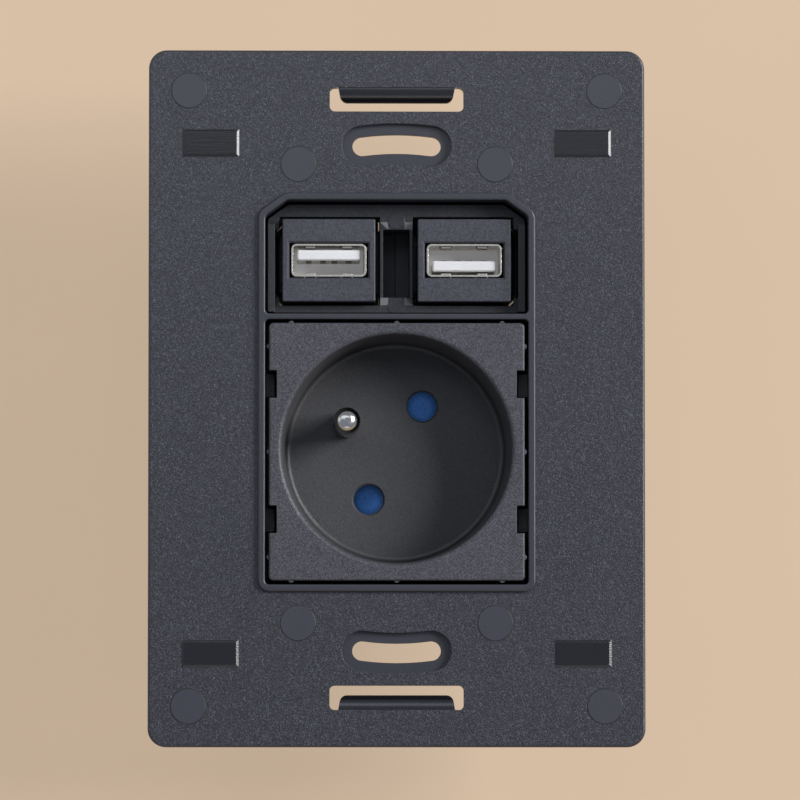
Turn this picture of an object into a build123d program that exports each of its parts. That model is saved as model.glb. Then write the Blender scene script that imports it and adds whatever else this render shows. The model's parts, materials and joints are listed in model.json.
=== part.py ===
from build123d import *
import math
import os

# A built-in power socket for a panel cut-out: a mounting plate with a rim around two windows.
# The lower window holds a mains socket insert with an earth pin and a turning safety shutter,
# the upper one a carrier with two snap-in USB modules, one turned half a turn against the other.
# Millimetres. X runs to the right, Z up and +Y into the panel. The plate's rear face is Y = 0,
# and the origin is the middle of the plate, between its two screw slots.

# Mounting plate
plate_width = 86.7
plate_height = 121.8
plate_thickness = 3.0
plate_corner_radius = 3.2
plate_edge_radius = 0.45

# The two windows, the bar between them and the raised rim around them
window_width = 45.9
socket_window_height = 46.24
usb_window_height = 19.89
divider_thickness = 1.05
window_rise = 1.03
window_corner_radius = 0.7
window_slope_run = 3.9
window_slope_drop = 2.8
window_slope_radius = 1.2
rim_width = 1.25
rim_height = 0.9
rim_edge_radius = 0.3

# Collar behind the windows and the ledge that the inserts stand on
collar_wall = 1.5
ledge_thickness = 1.2
ledge_reach = 1.2
ledge_clearance = 0.2

# Curved screw slots, each with a step for the screw's head
screw_slot_radius = 44.55
screw_slot_width = 3.4
screw_slot_travel = 12.1
screw_step_width = 7.1
screw_step_depth = 1.2

# Hook slots and the catch lip on the outer edge of each
hook_slot_distance = 7.75
hook_slot_length = 23.4
hook_slot_width = 4.25
hook_slot_radius = 0.9
lip_root_length = 20.4
lip_edge_length = 19.4
lip_reach = 2.6
lip_set_back = 0.25
lip_edge_thickness = 0.9
lip_corner_radius = 1.3

# Raised pads and ejector marks on the plate's front
pad_length = 10.0
pad_width = 4.9
pad_height = 0.22
pad_bevel = 0.48
pad_offset = (32.5, 44.6)
mark_diameter = 6.1
mark_height = 0.08
outer_mark_offset = (36.3, 53.8)
inner_mark_side = 17.2
inner_mark_top = 40.9
inner_mark_bottom = -39.3

# Socket insert
insert_gap = 0.63
insert_corner_radius = 0.8
insert_edge_radius = 0.4
insert_proud = 0.1
skirt_wall = 1.5
face_thickness = 2.5
hollow_band = 15.2
hollow_side = 8.0
crush_rib_radius = 0.5
crush_rib_height = 0.35
crush_rib_spacing = 18.4
crush_rib_length = 12.0

# Side latches of the insert, in open channels
latch_spacing = 11.8
latch_channel_depth = 1.4
latch_channel_height = 4.85
latch_channel_length = 15.0
latch_thickness = 1.0
latch_height = 4.0
latch_tooth_reach = 0.35
latch_tooth_flat = 0.6
latch_tooth_slope = 2.4
latch_window_height = 6.0
latch_seat = 0.5
latch_play = 0.2

# Mains recess
recess_rise = 0.5
recess_margin = 1.99
recess_draft = 0.6
recess_depth = 15.0
recess_mouth_radius = 0.83
recess_foot_radius = 1.0
recess_wall = 1.6
floor_thickness = 2.0

# Contact holes and earth pin
contact_spacing = 19.0
contact_angle = 60.0
contact_hole_radius = 2.6
contact_hole_bevel = 0.3
earth_pin_distance = 10.0
earth_pin_angle = 150.0
earth_pin_radius = 2.4
earth_pin_length = 14.0
earth_pin_tip_length = 2.6
earth_pin_tip_flat = 0.5
earth_neck_clearance = 0.05
earth_neck_radius = 1.9
earth_collar_radius = 3.0
earth_rivet_radius = 1.5
earth_rivet_head_radius = 2.3
earth_rivet_head_height = 0.6

# Turning shutter and its pivot
running_gap = 0.2
pivot_radius = 1.9
pivot_clearance = 0.08
shutter_gap = 0.4
shutter_thickness = 5.6
shutter_hub_radius = 5.0
shutter_arm_reach = 13.0
shutter_arm_half_width = 3.1
shutter_arm_crest = 0.7
shutter_arm_edge = 0.6
shutter_travel = 38.0
chamber_radius = 15.5
stop_width = 1.6
stop_length = 4.5

# Torsion spring around the pivot
spring_wire = 0.5
spring_wire_sides = 8
spring_turns = 5
spring_radius = 3.1
spring_pitch = 0.45
spring_leg_length = 2.2
spring_slot_width = 1.0

# Contacts, straps and wire clamps
strap_inset = 0.8
strap_thickness = 0.6
strap_width = 4.0
sleeve_bore_radius = 2.5
sleeve_wall = 0.55
sleeve_length = 9.0
sleeve_slit = 0.9
earth_eye_radius = 3.2
cage_inset = 5.47
cage_width = 7.0
cage_height = 6.5
cage_depth = 8.0
cage_passage_width = 4.4
cage_passage_height = 4.6
clamp_screw_radius = 1.5
clamp_screw_length = 4.4
clamp_head_radius = 2.6
clamp_head_height = 1.5
screw_slit = 0.7
screw_slit_depth = 0.7
wire_hole_radius = 2.0
wire_funnel = 0.9
seat_clearance = 0.2

# Rear housing of the mains socket
base_inset = 1.85
base_corner_radius = 3.0
base_edge_bevel = 1.0
base_rear_wall = 4.0
base_screw_inset = 3.57
base_screw_radius = 1.3
base_screw_clearance = 0.1
base_screw_depth = 9.0
base_boss_radius = 2.6
base_head_radius = 2.5
base_head_height = 1.9
base_slit_length = 3.4
base_head_room = 2.3

# USB carrier
carrier_gap = 0.45
carrier_sink = 5.0
carrier_thickness = 2.0
carrier_wall = 1.2
carrier_rail_drop = 4.1
carrier_rib_width = 1.2
carrier_rib_depth = 8.4
carrier_lip_rib = 0.5
carrier_latch_rib = 0.6
carrier_centre_wall = 0.5
centre_window_width = 4.7
centre_window_height = 12.0
centre_window_drop = 0.4
centre_floor_thickness = 1.0
centre_step = 1.2
centre_facet_width = 1.4
centre_facet_height = 1.3
centre_facet_depth = 0.8
carrier_mark_radius = 1.45
carrier_mark_height = 0.1
carrier_mark_spacing = 15.1
carrier_nib_reach = 0.85
carrier_nib_height = 6.0
carrier_nib_length = 2.2
carrier_nib_flat = 0.7
carrier_nib_setback = 6.9

# Snap-in USB modules
module_height = 24.2
nose_height = 14.5
nose_corner_radius = 0.3
nose_edge_radius = 0.25
cap_edge_bevel = 0.5
nose_sink = 2.5
lip_side_gap = 0.85
latch_side_gap = 1.3
latch_gap_height = 12.0
nose_end_gap = 0.55
module_play = 0.1
module_latch_thickness = 0.9
module_latch_height = 10.0
module_latch_room = 0.5
module_latch_root = 1.5
module_latch_overlap = 0.4
module_lip_overlap = 0.3
module_tooth_length = 1.2
module_corner_slope = 2.0
module_shoulder = 0.5

# USB sockets inside the modules
port_width = 13.8
port_height = 6.1
port_bevel = 0.3
shell_sink = 0.2
shell_width = 13.1
shell_height = 5.72
shell_sheet = 0.3
shell_corner_radius = 0.9
shell_length = 14.1
shell_spring_width = 2.2
shell_spring_length = 5.5
shell_spring_spacing = 6.4
shell_spring_setback = 0.9
shell_spring_dip = 0.55
shell_spring_tip_dip = 0.33
shell_spring_crest = 1.8
shell_spring_gap = 0.25
tongue_width = 11.1
tongue_thickness = 1.84
tongue_offset = 0.68
tongue_sink = 0.8
tongue_length = 9.0
tongue_edge_radius = 0.35
tongue_tip_bevel = 0.25
insulator_clearance = 0.1
contact_places = (-3.5, -1.0, 1.0, 3.5)
contact_width = 1.0
contact_sheet = 0.3
contact_groove_clearance = 0.08
contact_groove_depth = 0.45
contact_bow = 0.5
contact_crest = 2.2
board_width = 14.6
board_height = 9.0
board_thickness = 1.0

# Places along Y, from the front to the rear
plate_front = -plate_thickness
rim_front = plate_front - rim_height
face_front = rim_front - insert_proud
recess_floor = face_front + recess_depth
recess_back = recess_floor + floor_thickness
ledge_front = recess_back
collar_end = ledge_front + ledge_thickness
shutter_front = recess_back + shutter_gap
shutter_back = shutter_front + shutter_thickness
chamber_floor = shutter_back + running_gap
spring_last_turn = chamber_floor + running_gap / 2 + spring_wire / 2
spring_first_turn = spring_last_turn - (spring_turns - 1) * spring_pitch
hub_back = spring_first_turn - spring_wire / 2 - running_gap / 2
spring_seat = spring_last_turn + spring_wire / 2 + running_gap
pivot_end = spring_seat + pivot_radius
strap_front = chamber_floor + strap_inset
strap_back = strap_front + strap_thickness
sleeve_end = strap_front + sleeve_length
rivet_end = strap_back + earth_rivet_head_height
cage_front = rivet_end + seat_clearance
cage_back = cage_front + cage_depth
base_back = max(cage_back, sleeve_end) + base_rear_wall
latch_start = latch_seat + latch_play
latch_tooth_end = latch_start + latch_tooth_flat + latch_tooth_slope
latch_root = face_front + latch_channel_length
carrier_front = rim_front + carrier_sink
carrier_back = carrier_front + carrier_thickness
carrier_rib_front = carrier_front + carrier_rib_depth
carrier_rib_back = carrier_rib_front + carrier_rib_width
nose_front = rim_front + nose_sink
shoulder_front = carrier_rib_back + module_play
shell_front = nose_front + shell_sink
shell_back = shell_front + shell_length
tongue_front = shell_front + tongue_sink
insulator_front = tongue_front + tongue_length
board_front = shell_back + module_play
module_middle = board_front + board_thickness / 2
cap_back = 2 * module_middle - nose_front

# Places in X and Z
hook_slot_height = screw_slot_radius + hook_slot_distance
opening_height = socket_window_height + divider_thickness + usb_window_height
opening_bottom = window_rise - opening_height / 2
opening_top = window_rise + opening_height / 2
socket_window_top = opening_bottom + socket_window_height
usb_window_bottom = socket_window_top + divider_thickness
insert_width = window_width - 2 * insert_gap
insert_height = socket_window_height - 2 * insert_gap
insert_z = opening_bottom + socket_window_height / 2
recess_z = insert_z + recess_rise
recess_radius = min(insert_width / 2, insert_height / 2 - recess_rise) - recess_margin
recess_floor_radius = recess_radius - recess_draft
base_width = insert_width - 2 * base_inset
base_height = insert_height - 2 * base_inset
cage_offset = base_width / 2 - cage_inset
carrier_half = window_width / 2 - carrier_gap
side_wall_inside = carrier_half - carrier_wall
centre_window_half = centre_window_width / 2
nose_inside = centre_window_half + carrier_centre_wall + lip_side_gap
nose_outside = side_wall_inside - latch_side_gap
nose_width = nose_outside - nose_inside
module_offset = (nose_inside + nose_outside) / 2
module_half_height = nose_height / 2 + module_shoulder
centre_z = module_height - centre_window_drop
module_latch_edge = nose_width / 2 + latch_side_gap - carrier_latch_rib + module_latch_overlap
contact_x = contact_spacing / 2 * math.cos(math.radians(contact_angle))
contact_z = contact_spacing / 2 * math.sin(math.radians(contact_angle))
earth_x = earth_pin_distance * math.cos(math.radians(earth_pin_angle))
earth_z = earth_pin_distance * math.sin(math.radians(earth_pin_angle))
tail_inside = cage_offset - cage_passage_width / 2 + seat_clearance / 2
sleeve_radius = sleeve_bore_radius + sleeve_wall
spring_hole_radius = spring_radius + spring_wire / 2 + seat_clearance
past = 1.0


def prism(outline, front, rear):
    """Extrudes an outline drawn in X and Z between two places along Y."""
    rear_plane = Plane(origin=(0, rear, 0), x_dir=(1, 0, 0), z_dir=(0, -1, 0))
    return extrude(rear_plane * outline, rear - front)


def rod(x, z, radius, front, rear):
    """A round bar along Y."""
    return prism(Pos(x, z) * Circle(radius), front, rear)


def block(x_range, y_range, z_range):
    """A box between two places on each axis."""
    low = (min(x_range), min(y_range), min(z_range))
    size = [abs(r[1] - r[0]) for r in (x_range, y_range, z_range)]
    return Pos(*low) * Box(*size, align=(Align.MIN, Align.MIN, Align.MIN))


def turned(edges):
    """A solid of revolution about Y from edges drawn as radius and Y."""
    return revolve(make_face(edges), axis=Axis.Y)


def side_bar(points, bottom, top):
    """A bar along Z whose section is drawn in X and Y."""
    return extrude(Pos(0, 0, bottom) * Polygon(*points, align=None), top - bottom)


def front_edges(solid):
    """The edges around the frontmost face."""
    return solid.faces().sort_by(Axis.Y)[0].edges()


def on_recess(piece):
    """Moves a piece drawn about the recess axis to its place."""
    return Pos(0, 0, recess_z) * piece


def half_turn(piece):
    """Turns a piece by half a turn about Y."""
    return Rot(0, 180, 0) * piece


def sloped_outline(bottom):
    """A window outline with sloped top corners, from a bottom height up to the opening's top."""
    half = window_width / 2
    shoulder = opening_top - window_slope_drop
    outline = Polygon(
        (-half, bottom),
        (half, bottom),
        (half, shoulder),
        (half - window_slope_run, opening_top),
        (-half + window_slope_run, opening_top),
        (-half, shoulder),
        align=None,
    )
    upper = [corner for corner in outline.vertices() if corner.Y > bottom]
    outline = fillet(upper, window_slope_radius)
    return fillet(outline.vertices().group_by(Axis.Y)[0], window_corner_radius)


def usb_window():
    return sloped_outline(usb_window_bottom)


def socket_window():
    return Pos(0, insert_z) * RectangleRounded(window_width, socket_window_height, window_corner_radius)


def screw_slot(width):
    """The curved slot at the top of the plate."""
    half_angle = math.degrees(screw_slot_travel / screw_slot_radius) / 2
    return SlotArc(CenterArc((0, 0), screw_slot_radius, 90 - half_angle, 2 * half_angle), width)


def catch_lip():
    """The convex lip on the outer edge of the top hook slot."""
    root = hook_slot_height + hook_slot_width / 2
    edge = root - lip_reach
    root_front = plate_front + lip_set_back
    edge_front = -lip_edge_thickness
    crown = (
        root_front + (edge_front - root_front) * (1 - math.cos(math.pi / 4)),
        root - lip_reach * math.sin(math.pi / 4),
    )
    section = make_face([
        ThreePointArc((root_front, root), crown, (edge_front, edge)),
        Line((edge_front, edge), (0, edge)),
        Line((0, edge), (0, root + past)),
        Line((0, root + past), (root_front, root + past)),
        Line((root_front, root + past), (root_front, root)),
    ])
    bar = extrude(Plane.YZ * section, lip_root_length / 2, both=True)
    shape = Polygon(
        (-lip_root_length / 2, root + past),
        (-lip_root_length / 2, root),
        (-lip_edge_length / 2, edge),
        (lip_edge_length / 2, edge),
        (lip_root_length / 2, root),
        (lip_root_length / 2, root + past),
        align=None,
    )
    shape = fillet(shape.vertices().group_by(Axis.Y)[0], lip_corner_radius)
    return bar & prism(shape, plate_front, 0)


def front_pad():
    pad = prism(Rectangle(pad_length, pad_width), plate_front - pad_height, plate_front + mark_height)
    top = pad.faces().sort_by(Axis.Y)[0]
    return chamfer(top.edges(), pad_bevel, pad_height, reference=top)


def rim_ring():
    """The raised rim with both windows and the bar between them."""
    ring = prism(offset(sloped_outline(opening_bottom), rim_width), rim_front, 0)
    ring -= prism(usb_window(), rim_front, 0)
    ring -= prism(socket_window(), rim_front, 0)
    return fillet(front_edges(ring), rim_edge_radius)


def collar():
    """Walls behind the windows, with a ledge all round at their rear end."""
    walls = prism(offset(sloped_outline(opening_bottom), collar_wall), plate_front / 2, collar_end)
    walls -= prism(usb_window(), plate_front, collar_end)
    walls -= prism(socket_window(), plate_front, collar_end)
    walls += prism(socket_window() - offset(socket_window(), -ledge_reach), ledge_front, collar_end)
    walls += prism(usb_window() - modules_opening(), ledge_front, collar_end)
    return walls


def modules_opening():
    """The opening in the ledge for both modules, its corners cut as theirs are."""
    half_width = module_offset + module_latch_edge + ledge_clearance
    half_height = module_half_height + ledge_clearance
    opening = Pos(0, module_height) * Rectangle(2 * half_width, 2 * half_height)
    return chamfer(opening.vertices(), module_corner_slope)


def mounting_plate():
    plate = prism(RectangleRounded(plate_width, plate_height, plate_corner_radius), plate_front, 0)
    plate = fillet(front_edges(plate), plate_edge_radius)
    plate -= prism(usb_window(), plate_front, 0)
    plate -= prism(socket_window(), plate_front, 0)
    plate += rim_ring()
    plate += collar()
    hook_slot = RectangleRounded(hook_slot_length, hook_slot_width, hook_slot_radius)
    for turn in (0, 180):
        turned_by = Rot(0, turn, 0)
        plate -= turned_by * prism(screw_slot(screw_slot_width), plate_front, 0)
        plate -= turned_by * prism(screw_slot(screw_step_width), plate_front, plate_front + screw_step_depth)
        plate -= turned_by * prism(Pos(0, hook_slot_height) * hook_slot, plate_front, 0)
        plate += turned_by * catch_lip()
    mark = Circle(mark_diameter / 2)
    for side in (-1, 1):
        mark_places = [
            (side * outer_mark_offset[0], outer_mark_offset[1]),
            (side * outer_mark_offset[0], -outer_mark_offset[1]),
            (side * inner_mark_side, inner_mark_top),
            (side * inner_mark_side, inner_mark_bottom),
        ]
        for x, z in mark_places:
            plate += prism(Pos(x, z) * mark, plate_front - mark_height, plate_front + mark_height)
        for end in (-1, 1):
            plate += Pos(side * pad_offset[0], 0, end * pad_offset[1]) * front_pad()
            plate -= block(
                (side * window_width / 2, side * (window_width / 2 + collar_wall + past)),
                (latch_seat, latch_tooth_end + latch_play),
                (
                    insert_z + end * latch_spacing - latch_window_height / 2,
                    insert_z + end * latch_spacing + latch_window_height / 2,
                ),
            )
        plate -= carrier_nib(side, module_play)
    return plate


def recess_void():
    mouth = recess_radius + recess_mouth_radius
    mouth_end = face_front + recess_mouth_radius
    foot = recess_floor_radius - recess_foot_radius
    foot_start = recess_floor - recess_foot_radius
    return on_recess(turned([
        Line((0, face_front - past), (mouth, face_front - past)),
        Line((mouth, face_front - past), (mouth, face_front)),
        CenterArc((mouth, mouth_end), recess_mouth_radius, 180, 90),
        Line((recess_radius, mouth_end), (recess_floor_radius, foot_start)),
        CenterArc((foot, foot_start), recess_foot_radius, 0, 90),
        Line((foot, recess_floor), (0, recess_floor)),
        Line((0, recess_floor), (0, face_front - past)),
    ]))


def contact_hole():
    """A contact hole through the recess floor, with a bevelled mouth."""
    wide = contact_hole_radius + contact_hole_bevel
    return Pos(contact_x, 0, contact_z) * turned([
        Line((0, recess_floor - past), (wide, recess_floor - past)),
        Line((wide, recess_floor - past), (wide, recess_floor)),
        Line((wide, recess_floor), (contact_hole_radius, recess_floor + contact_hole_bevel)),
        Line((contact_hole_radius, recess_floor + contact_hole_bevel), (contact_hole_radius, recess_back)),
        Line((contact_hole_radius, recess_back), (0, recess_back)),
        Line((0, recess_back), (0, recess_floor - past)),
    ])


def base_screw_places():
    across = base_width / 2 - base_screw_inset
    along = base_height / 2 - base_screw_inset
    return ((-across, insert_z + along), (across, insert_z - along))


def corner_hollows():
    """Hollows between the cup and the skirt, open at the rear."""
    inside = Rectangle(insert_width - 2 * skirt_wall, insert_height - 2 * skirt_wall)
    inside -= Pos(0, recess_rise) * Circle(recess_radius + recess_wall)
    inside -= Rectangle(insert_width, 2 * hollow_band)
    inside -= Rectangle(2 * hollow_side, insert_height)
    return prism(Pos(0, insert_z) * inside, face_front + face_thickness, recess_back)


def latch_arm(side, z):
    """A latch that springs outwards behind the plate."""
    outside = insert_width / 2
    tip = window_width / 2 + latch_tooth_reach
    points = [
        (outside - latch_thickness, latch_start),
        (tip, latch_start),
        (tip, latch_start + latch_tooth_flat),
        (outside, latch_tooth_end),
        (outside, latch_root),
        (outside - latch_thickness, latch_root),
    ]
    arm = side_bar(points, -latch_height / 2, latch_height / 2)
    if side < 0:
        arm = half_turn(arm)
    return Pos(0, 0, z) * arm


def crush_ribs():
    """Half-round ribs around the insert that take up the gap in the window."""
    start = face_front + insert_edge_radius
    sunk = crush_rib_radius - crush_rib_height
    across = insert_width / 2 - sunk
    along = insert_height / 2 - sunk
    ribs = []
    for place in (-crush_rib_spacing, 0, crush_rib_spacing):
        for side in (-1, 1):
            for x, z in ((place, side * along), (side * across, place)):
                ribs.append(rod(x, insert_z + z, crush_rib_radius, start, start + crush_rib_length))
    return ribs


def socket_face():
    outline = Pos(0, insert_z) * RectangleRounded(insert_width, insert_height, insert_corner_radius)
    face = prism(outline, face_front, recess_back)
    face = fillet(front_edges(face), insert_edge_radius)
    for rib in crush_ribs():
        face += rib
    face -= recess_void()
    face -= corner_hollows()
    face -= on_recess(contact_hole())
    face -= on_recess(half_turn(contact_hole()))
    face -= rod(
        earth_x,
        recess_z + earth_z,
        earth_neck_radius + earth_neck_clearance,
        recess_floor - past,
        recess_back,
    )
    for side in (-1, 1):
        for end in (-1, 1):
            z = insert_z + end * latch_spacing
            channel_floor = insert_width / 2 - latch_channel_depth
            face -= block(
                (side * channel_floor, side * (channel_floor + latch_channel_depth + past)),
                (face_front - past, latch_root),
                (z - latch_channel_height / 2, z + latch_channel_height / 2),
            )
            face += latch_arm(side, z)
    for x, z in base_screw_places():
        face += rod(x, z, base_boss_radius, face_front + face_thickness / 2, recess_back)
        hole_radius = base_screw_radius + base_screw_clearance
        face -= rod(x, z, hole_radius, recess_back - base_screw_depth - running_gap, recess_back)
    face += rod(0, recess_z, pivot_radius, recess_floor + floor_thickness / 2, pivot_end)
    return face


def earth_pin():
    """A turned pin with a domed tip, a neck in the recess floor, a collar behind it and a riveted end."""
    tip = recess_floor - earth_pin_length
    dome_end = tip + earth_pin_tip_length
    lean = math.sin(math.pi / 4)
    crown = (
        earth_pin_tip_flat + (earth_pin_radius - earth_pin_tip_flat) * lean,
        dome_end - earth_pin_tip_length * lean,
    )
    return on_recess(Pos(earth_x, 0, earth_z) * turned([
        Line((0, tip), (earth_pin_tip_flat, tip)),
        ThreePointArc((earth_pin_tip_flat, tip), crown, (earth_pin_radius, dome_end)),
        Line((earth_pin_radius, dome_end), (earth_pin_radius, recess_floor)),
        Line((earth_pin_radius, recess_floor), (earth_neck_radius, recess_floor)),
        Line((earth_neck_radius, recess_floor), (earth_neck_radius, recess_back)),
        Line((earth_neck_radius, recess_back), (earth_collar_radius, recess_back)),
        Line((earth_collar_radius, recess_back), (earth_collar_radius, strap_front)),
        Line((earth_collar_radius, strap_front), (earth_rivet_radius, strap_front)),
        Line((earth_rivet_radius, strap_front), (earth_rivet_radius, strap_back)),
        Line((earth_rivet_radius, strap_back), (earth_rivet_head_radius, strap_back)),
        Line((earth_rivet_head_radius, strap_back), (earth_rivet_radius, rivet_end)),
        Line((earth_rivet_radius, rivet_end), (0, rivet_end)),
        Line((0, rivet_end), (0, tip)),
    ]))


def shutter_arm():
    """An arm along +X whose front slopes, so that a pin pushed in turns the shutter aside."""
    half = shutter_arm_half_width
    section = Polygon(
        (shutter_front, -half),
        (shutter_front, -half + shutter_arm_crest),
        (shutter_back - shutter_arm_edge, half),
        (shutter_back, half),
        (shutter_back, -half),
        align=None,
    )
    return extrude(Plane.YZ * section, shutter_arm_reach)


def safety_shutter():
    shutter = rod(0, 0, shutter_hub_radius, shutter_front, shutter_back)
    for turn in (contact_angle, contact_angle + 180):
        shutter += Rot(0, -turn, 0) * shutter_arm()
    shutter -= rod(0, 0, spring_hole_radius, hub_back, shutter_back)
    shutter -= rod(0, 0, pivot_radius + pivot_clearance, shutter_front, hub_back)
    shutter -= spring_slot(hub_back, contact_angle + 90)
    return on_recess(shutter)


def spring_slot(front, turn):
    """A radial slot that holds a leg of the spring."""
    half = spring_slot_width / 2
    reach = spring_radius + spring_leg_length + seat_clearance
    slot = block((0, reach), (front, front + spring_slot_width), (-half, half))
    return Rot(0, -turn, 0) * slot


def spring_leg(y, turn):
    start = Plane(origin=(spring_radius, y, 0), z_dir=(1, 0, 0))
    leg = extrude(start * Circle(spring_wire / 2), spring_leg_length)
    return Rot(0, -turn, 0) * leg


def shutter_spring():
    """A close-wound torsion spring: turns side by side, and a leg at each end."""
    wire = RegularPolygon(spring_wire / 2, spring_wire_sides, rotation=180 / spring_wire_sides)
    section = Pos(spring_radius, spring_first_turn) * wire
    for turn in range(1, spring_turns):
        section += Pos(spring_radius, spring_first_turn + turn * spring_pitch) * wire
    spring = revolve(section, axis=Axis.Y)
    spring += spring_leg(spring_first_turn, contact_angle + 90)
    spring += spring_leg(spring_last_turn, contact_angle - 90)
    return on_recess(spring)


def strap(x, z, side):
    """A strip from a contact to its wire clamp, bent backwards into the clamp."""
    tail = tail_inside + strap_thickness
    z_range = (z - strap_width / 2, z + strap_width / 2)
    strip = block((x, side * tail), (strap_front, strap_back), z_range)
    strip += block((side * tail_inside, side * tail), (strap_front, cage_back - seat_clearance), z_range)
    return strip


def live_contact():
    """A split sleeve on a strap."""
    contact = strap(contact_x, contact_z, 1)
    contact += rod(contact_x, contact_z, sleeve_radius, strap_front, sleeve_end)
    contact -= rod(contact_x, contact_z, sleeve_bore_radius, strap_front, sleeve_end)
    contact -= block(
        (contact_x - sleeve_radius - past, contact_x),
        (strap_front, sleeve_end),
        (contact_z - sleeve_slit / 2, contact_z + sleeve_slit / 2),
    )
    return on_recess(contact)


def neutral_contact():
    return on_recess(half_turn(Pos(0, 0, -recess_z) * live_contact()))


def earth_strap():
    piece = strap(earth_x, earth_z, -1)
    piece += rod(earth_x, earth_z, earth_eye_radius, strap_front, strap_back)
    piece -= rod(earth_x, earth_z, earth_rivet_radius, strap_front, strap_back)
    return on_recess(piece)


def clamps():
    """Side and height of each wire clamp, from the recess axis."""
    return ((1, contact_z), (-1, -contact_z), (-1, earth_z))


def terminal_cage(side, z):
    x = side * cage_offset
    cage = prism(Pos(x, z) * RectangleRounded(cage_width, cage_height, seat_clearance), cage_front, cage_back)
    cage -= prism(Pos(x, z) * Rectangle(cage_passage_width, cage_passage_height), cage_front, cage_back)
    screw_y = (cage_front + cage_back) / 2
    start = Plane(origin=(x, screw_y, z), z_dir=(side, 0, 0))
    cage -= extrude(start * Circle(clamp_screw_radius), cage_width)
    return on_recess(cage)


def terminal_screw(side, z):
    """A slotted clamping screw along X, its head outside the cage."""
    head_start = cage_offset + cage_width / 2 + running_gap
    middle = Plane(origin=(0, (cage_front + cage_back) / 2, z), x_dir=(0, 1, 0), z_dir=(side, 0, 0))
    screw = extrude(
        middle.offset(head_start - clamp_screw_length) * Circle(clamp_screw_radius),
        clamp_screw_length,
    )
    screw += extrude(middle.offset(head_start) * Circle(clamp_head_radius), clamp_head_height)
    slit = Rectangle(2 * clamp_head_radius, screw_slit)
    slit_floor = head_start + clamp_head_height - screw_slit_depth
    screw -= extrude(middle.offset(slit_floor) * slit, screw_slit_depth)
    return on_recess(screw)


def shutter_stop(turn, side):
    """A lug on the chamber wall beside an arm, at one end of the shutter's travel."""
    near = side * (shutter_arm_half_width + running_gap)
    lug = block(
        (chamber_radius - stop_length, chamber_radius + past),
        (recess_back, chamber_floor + past),
        (near, near + side * stop_width),
    )
    return Rot(0, -turn, 0) * lug


def socket_base():
    """Rear housing: the shutter chamber at its front, pockets for the contacts and wire entries."""
    outline = Pos(0, insert_z) * RectangleRounded(base_width, base_height, base_corner_radius)
    base = prism(outline, recess_back, base_back)
    base = chamfer(base.faces().sort_by(Axis.Y)[-1].edges(), base_edge_bevel)
    base -= on_recess(rod(0, 0, chamber_radius, recess_back, chamber_floor))
    for turn in (contact_angle, contact_angle + 180):
        base += on_recess(shutter_stop(turn, 1))
        base += on_recess(shutter_stop(turn - shutter_travel, -1))
    base -= on_recess(rod(0, 0, spring_hole_radius, chamber_floor, spring_seat))
    base -= on_recess(spring_slot(chamber_floor, contact_angle - 90))
    base -= on_recess(rod(0, 0, pivot_radius + pivot_clearance, spring_seat, pivot_end + running_gap))
    for side in (-1, 1):
        pocket = sleeve_radius + seat_clearance
        x, z = side * contact_x, side * contact_z
        base -= on_recess(rod(x, z, pocket, chamber_floor, sleeve_end))
        base -= on_recess(strap_pocket(x, z, side))
    base -= on_recess(strap_pocket(earth_x, earth_z, -1))
    base -= on_recess(rod(earth_x, earth_z, earth_eye_radius + seat_clearance, chamber_floor, strap_back))
    rivet_pocket = earth_rivet_head_radius + seat_clearance
    base -= on_recess(rod(earth_x, earth_z, rivet_pocket, strap_back, rivet_end + running_gap))
    for side, z in clamps():
        base -= on_recess(clamp_pocket(side, z))
    for x, z in base_screw_places():
        base -= rod(x, z, base_screw_radius + base_screw_clearance, recess_back, base_back)
        base -= rod(x, z, base_head_radius + seat_clearance, base_back - base_head_room, base_back)
    return base


def strap_pocket(x, z, side):
    """Room for a strap, open to the shutter chamber."""
    half = strap_width / 2 + seat_clearance
    return block((x, side * cage_offset), (chamber_floor, strap_back), (z - half, z + half))


def clamp_pocket(side, z):
    """Room for a wire clamp, its screw's head and the wire from behind."""
    x = side * cage_offset
    room = Rectangle(cage_width + 2 * seat_clearance, cage_height + 2 * seat_clearance)
    pocket = prism(Pos(x, z) * room, recess_back, cage_back)
    middle = Plane(origin=(x, (cage_front + cage_back) / 2, z), z_dir=(side, 0, 0))
    pocket += extrude(middle * Circle(clamp_head_radius + seat_clearance), base_width / 2)
    funnel_start = base_back - wire_funnel
    pocket += Pos(x, 0, z) * turned([
        Line((0, cage_back), (wire_hole_radius, cage_back)),
        Line((wire_hole_radius, cage_back), (wire_hole_radius, funnel_start)),
        Line((wire_hole_radius, funnel_start), (wire_hole_radius + wire_funnel, base_back)),
        Line((wire_hole_radius + wire_funnel, base_back), (0, base_back)),
        Line((0, base_back), (0, cage_back)),
    ])
    return pocket


def base_screw(x, z):
    """A cross-headed screw from the rear through the base into the face's boss."""
    head_front = base_back - base_head_room
    screw = rod(x, z, base_screw_radius, recess_back - base_screw_depth, head_front)
    head = rod(x, z, base_head_radius, head_front, head_front + base_head_height)
    head = chamfer(head.faces().sort_by(Axis.Y)[-1].edges(), screw_slit_depth / 2)
    screw += head
    slit_y = (head_front + base_head_height - screw_slit_depth, head_front + base_head_height)
    half = base_slit_length / 2
    screw -= block((x - half, x + half), slit_y, (z - screw_slit / 2, z + screw_slit / 2))
    screw -= block((x - screw_slit / 2, x + screw_slit / 2), slit_y, (z - half, z + half))
    return screw


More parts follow.
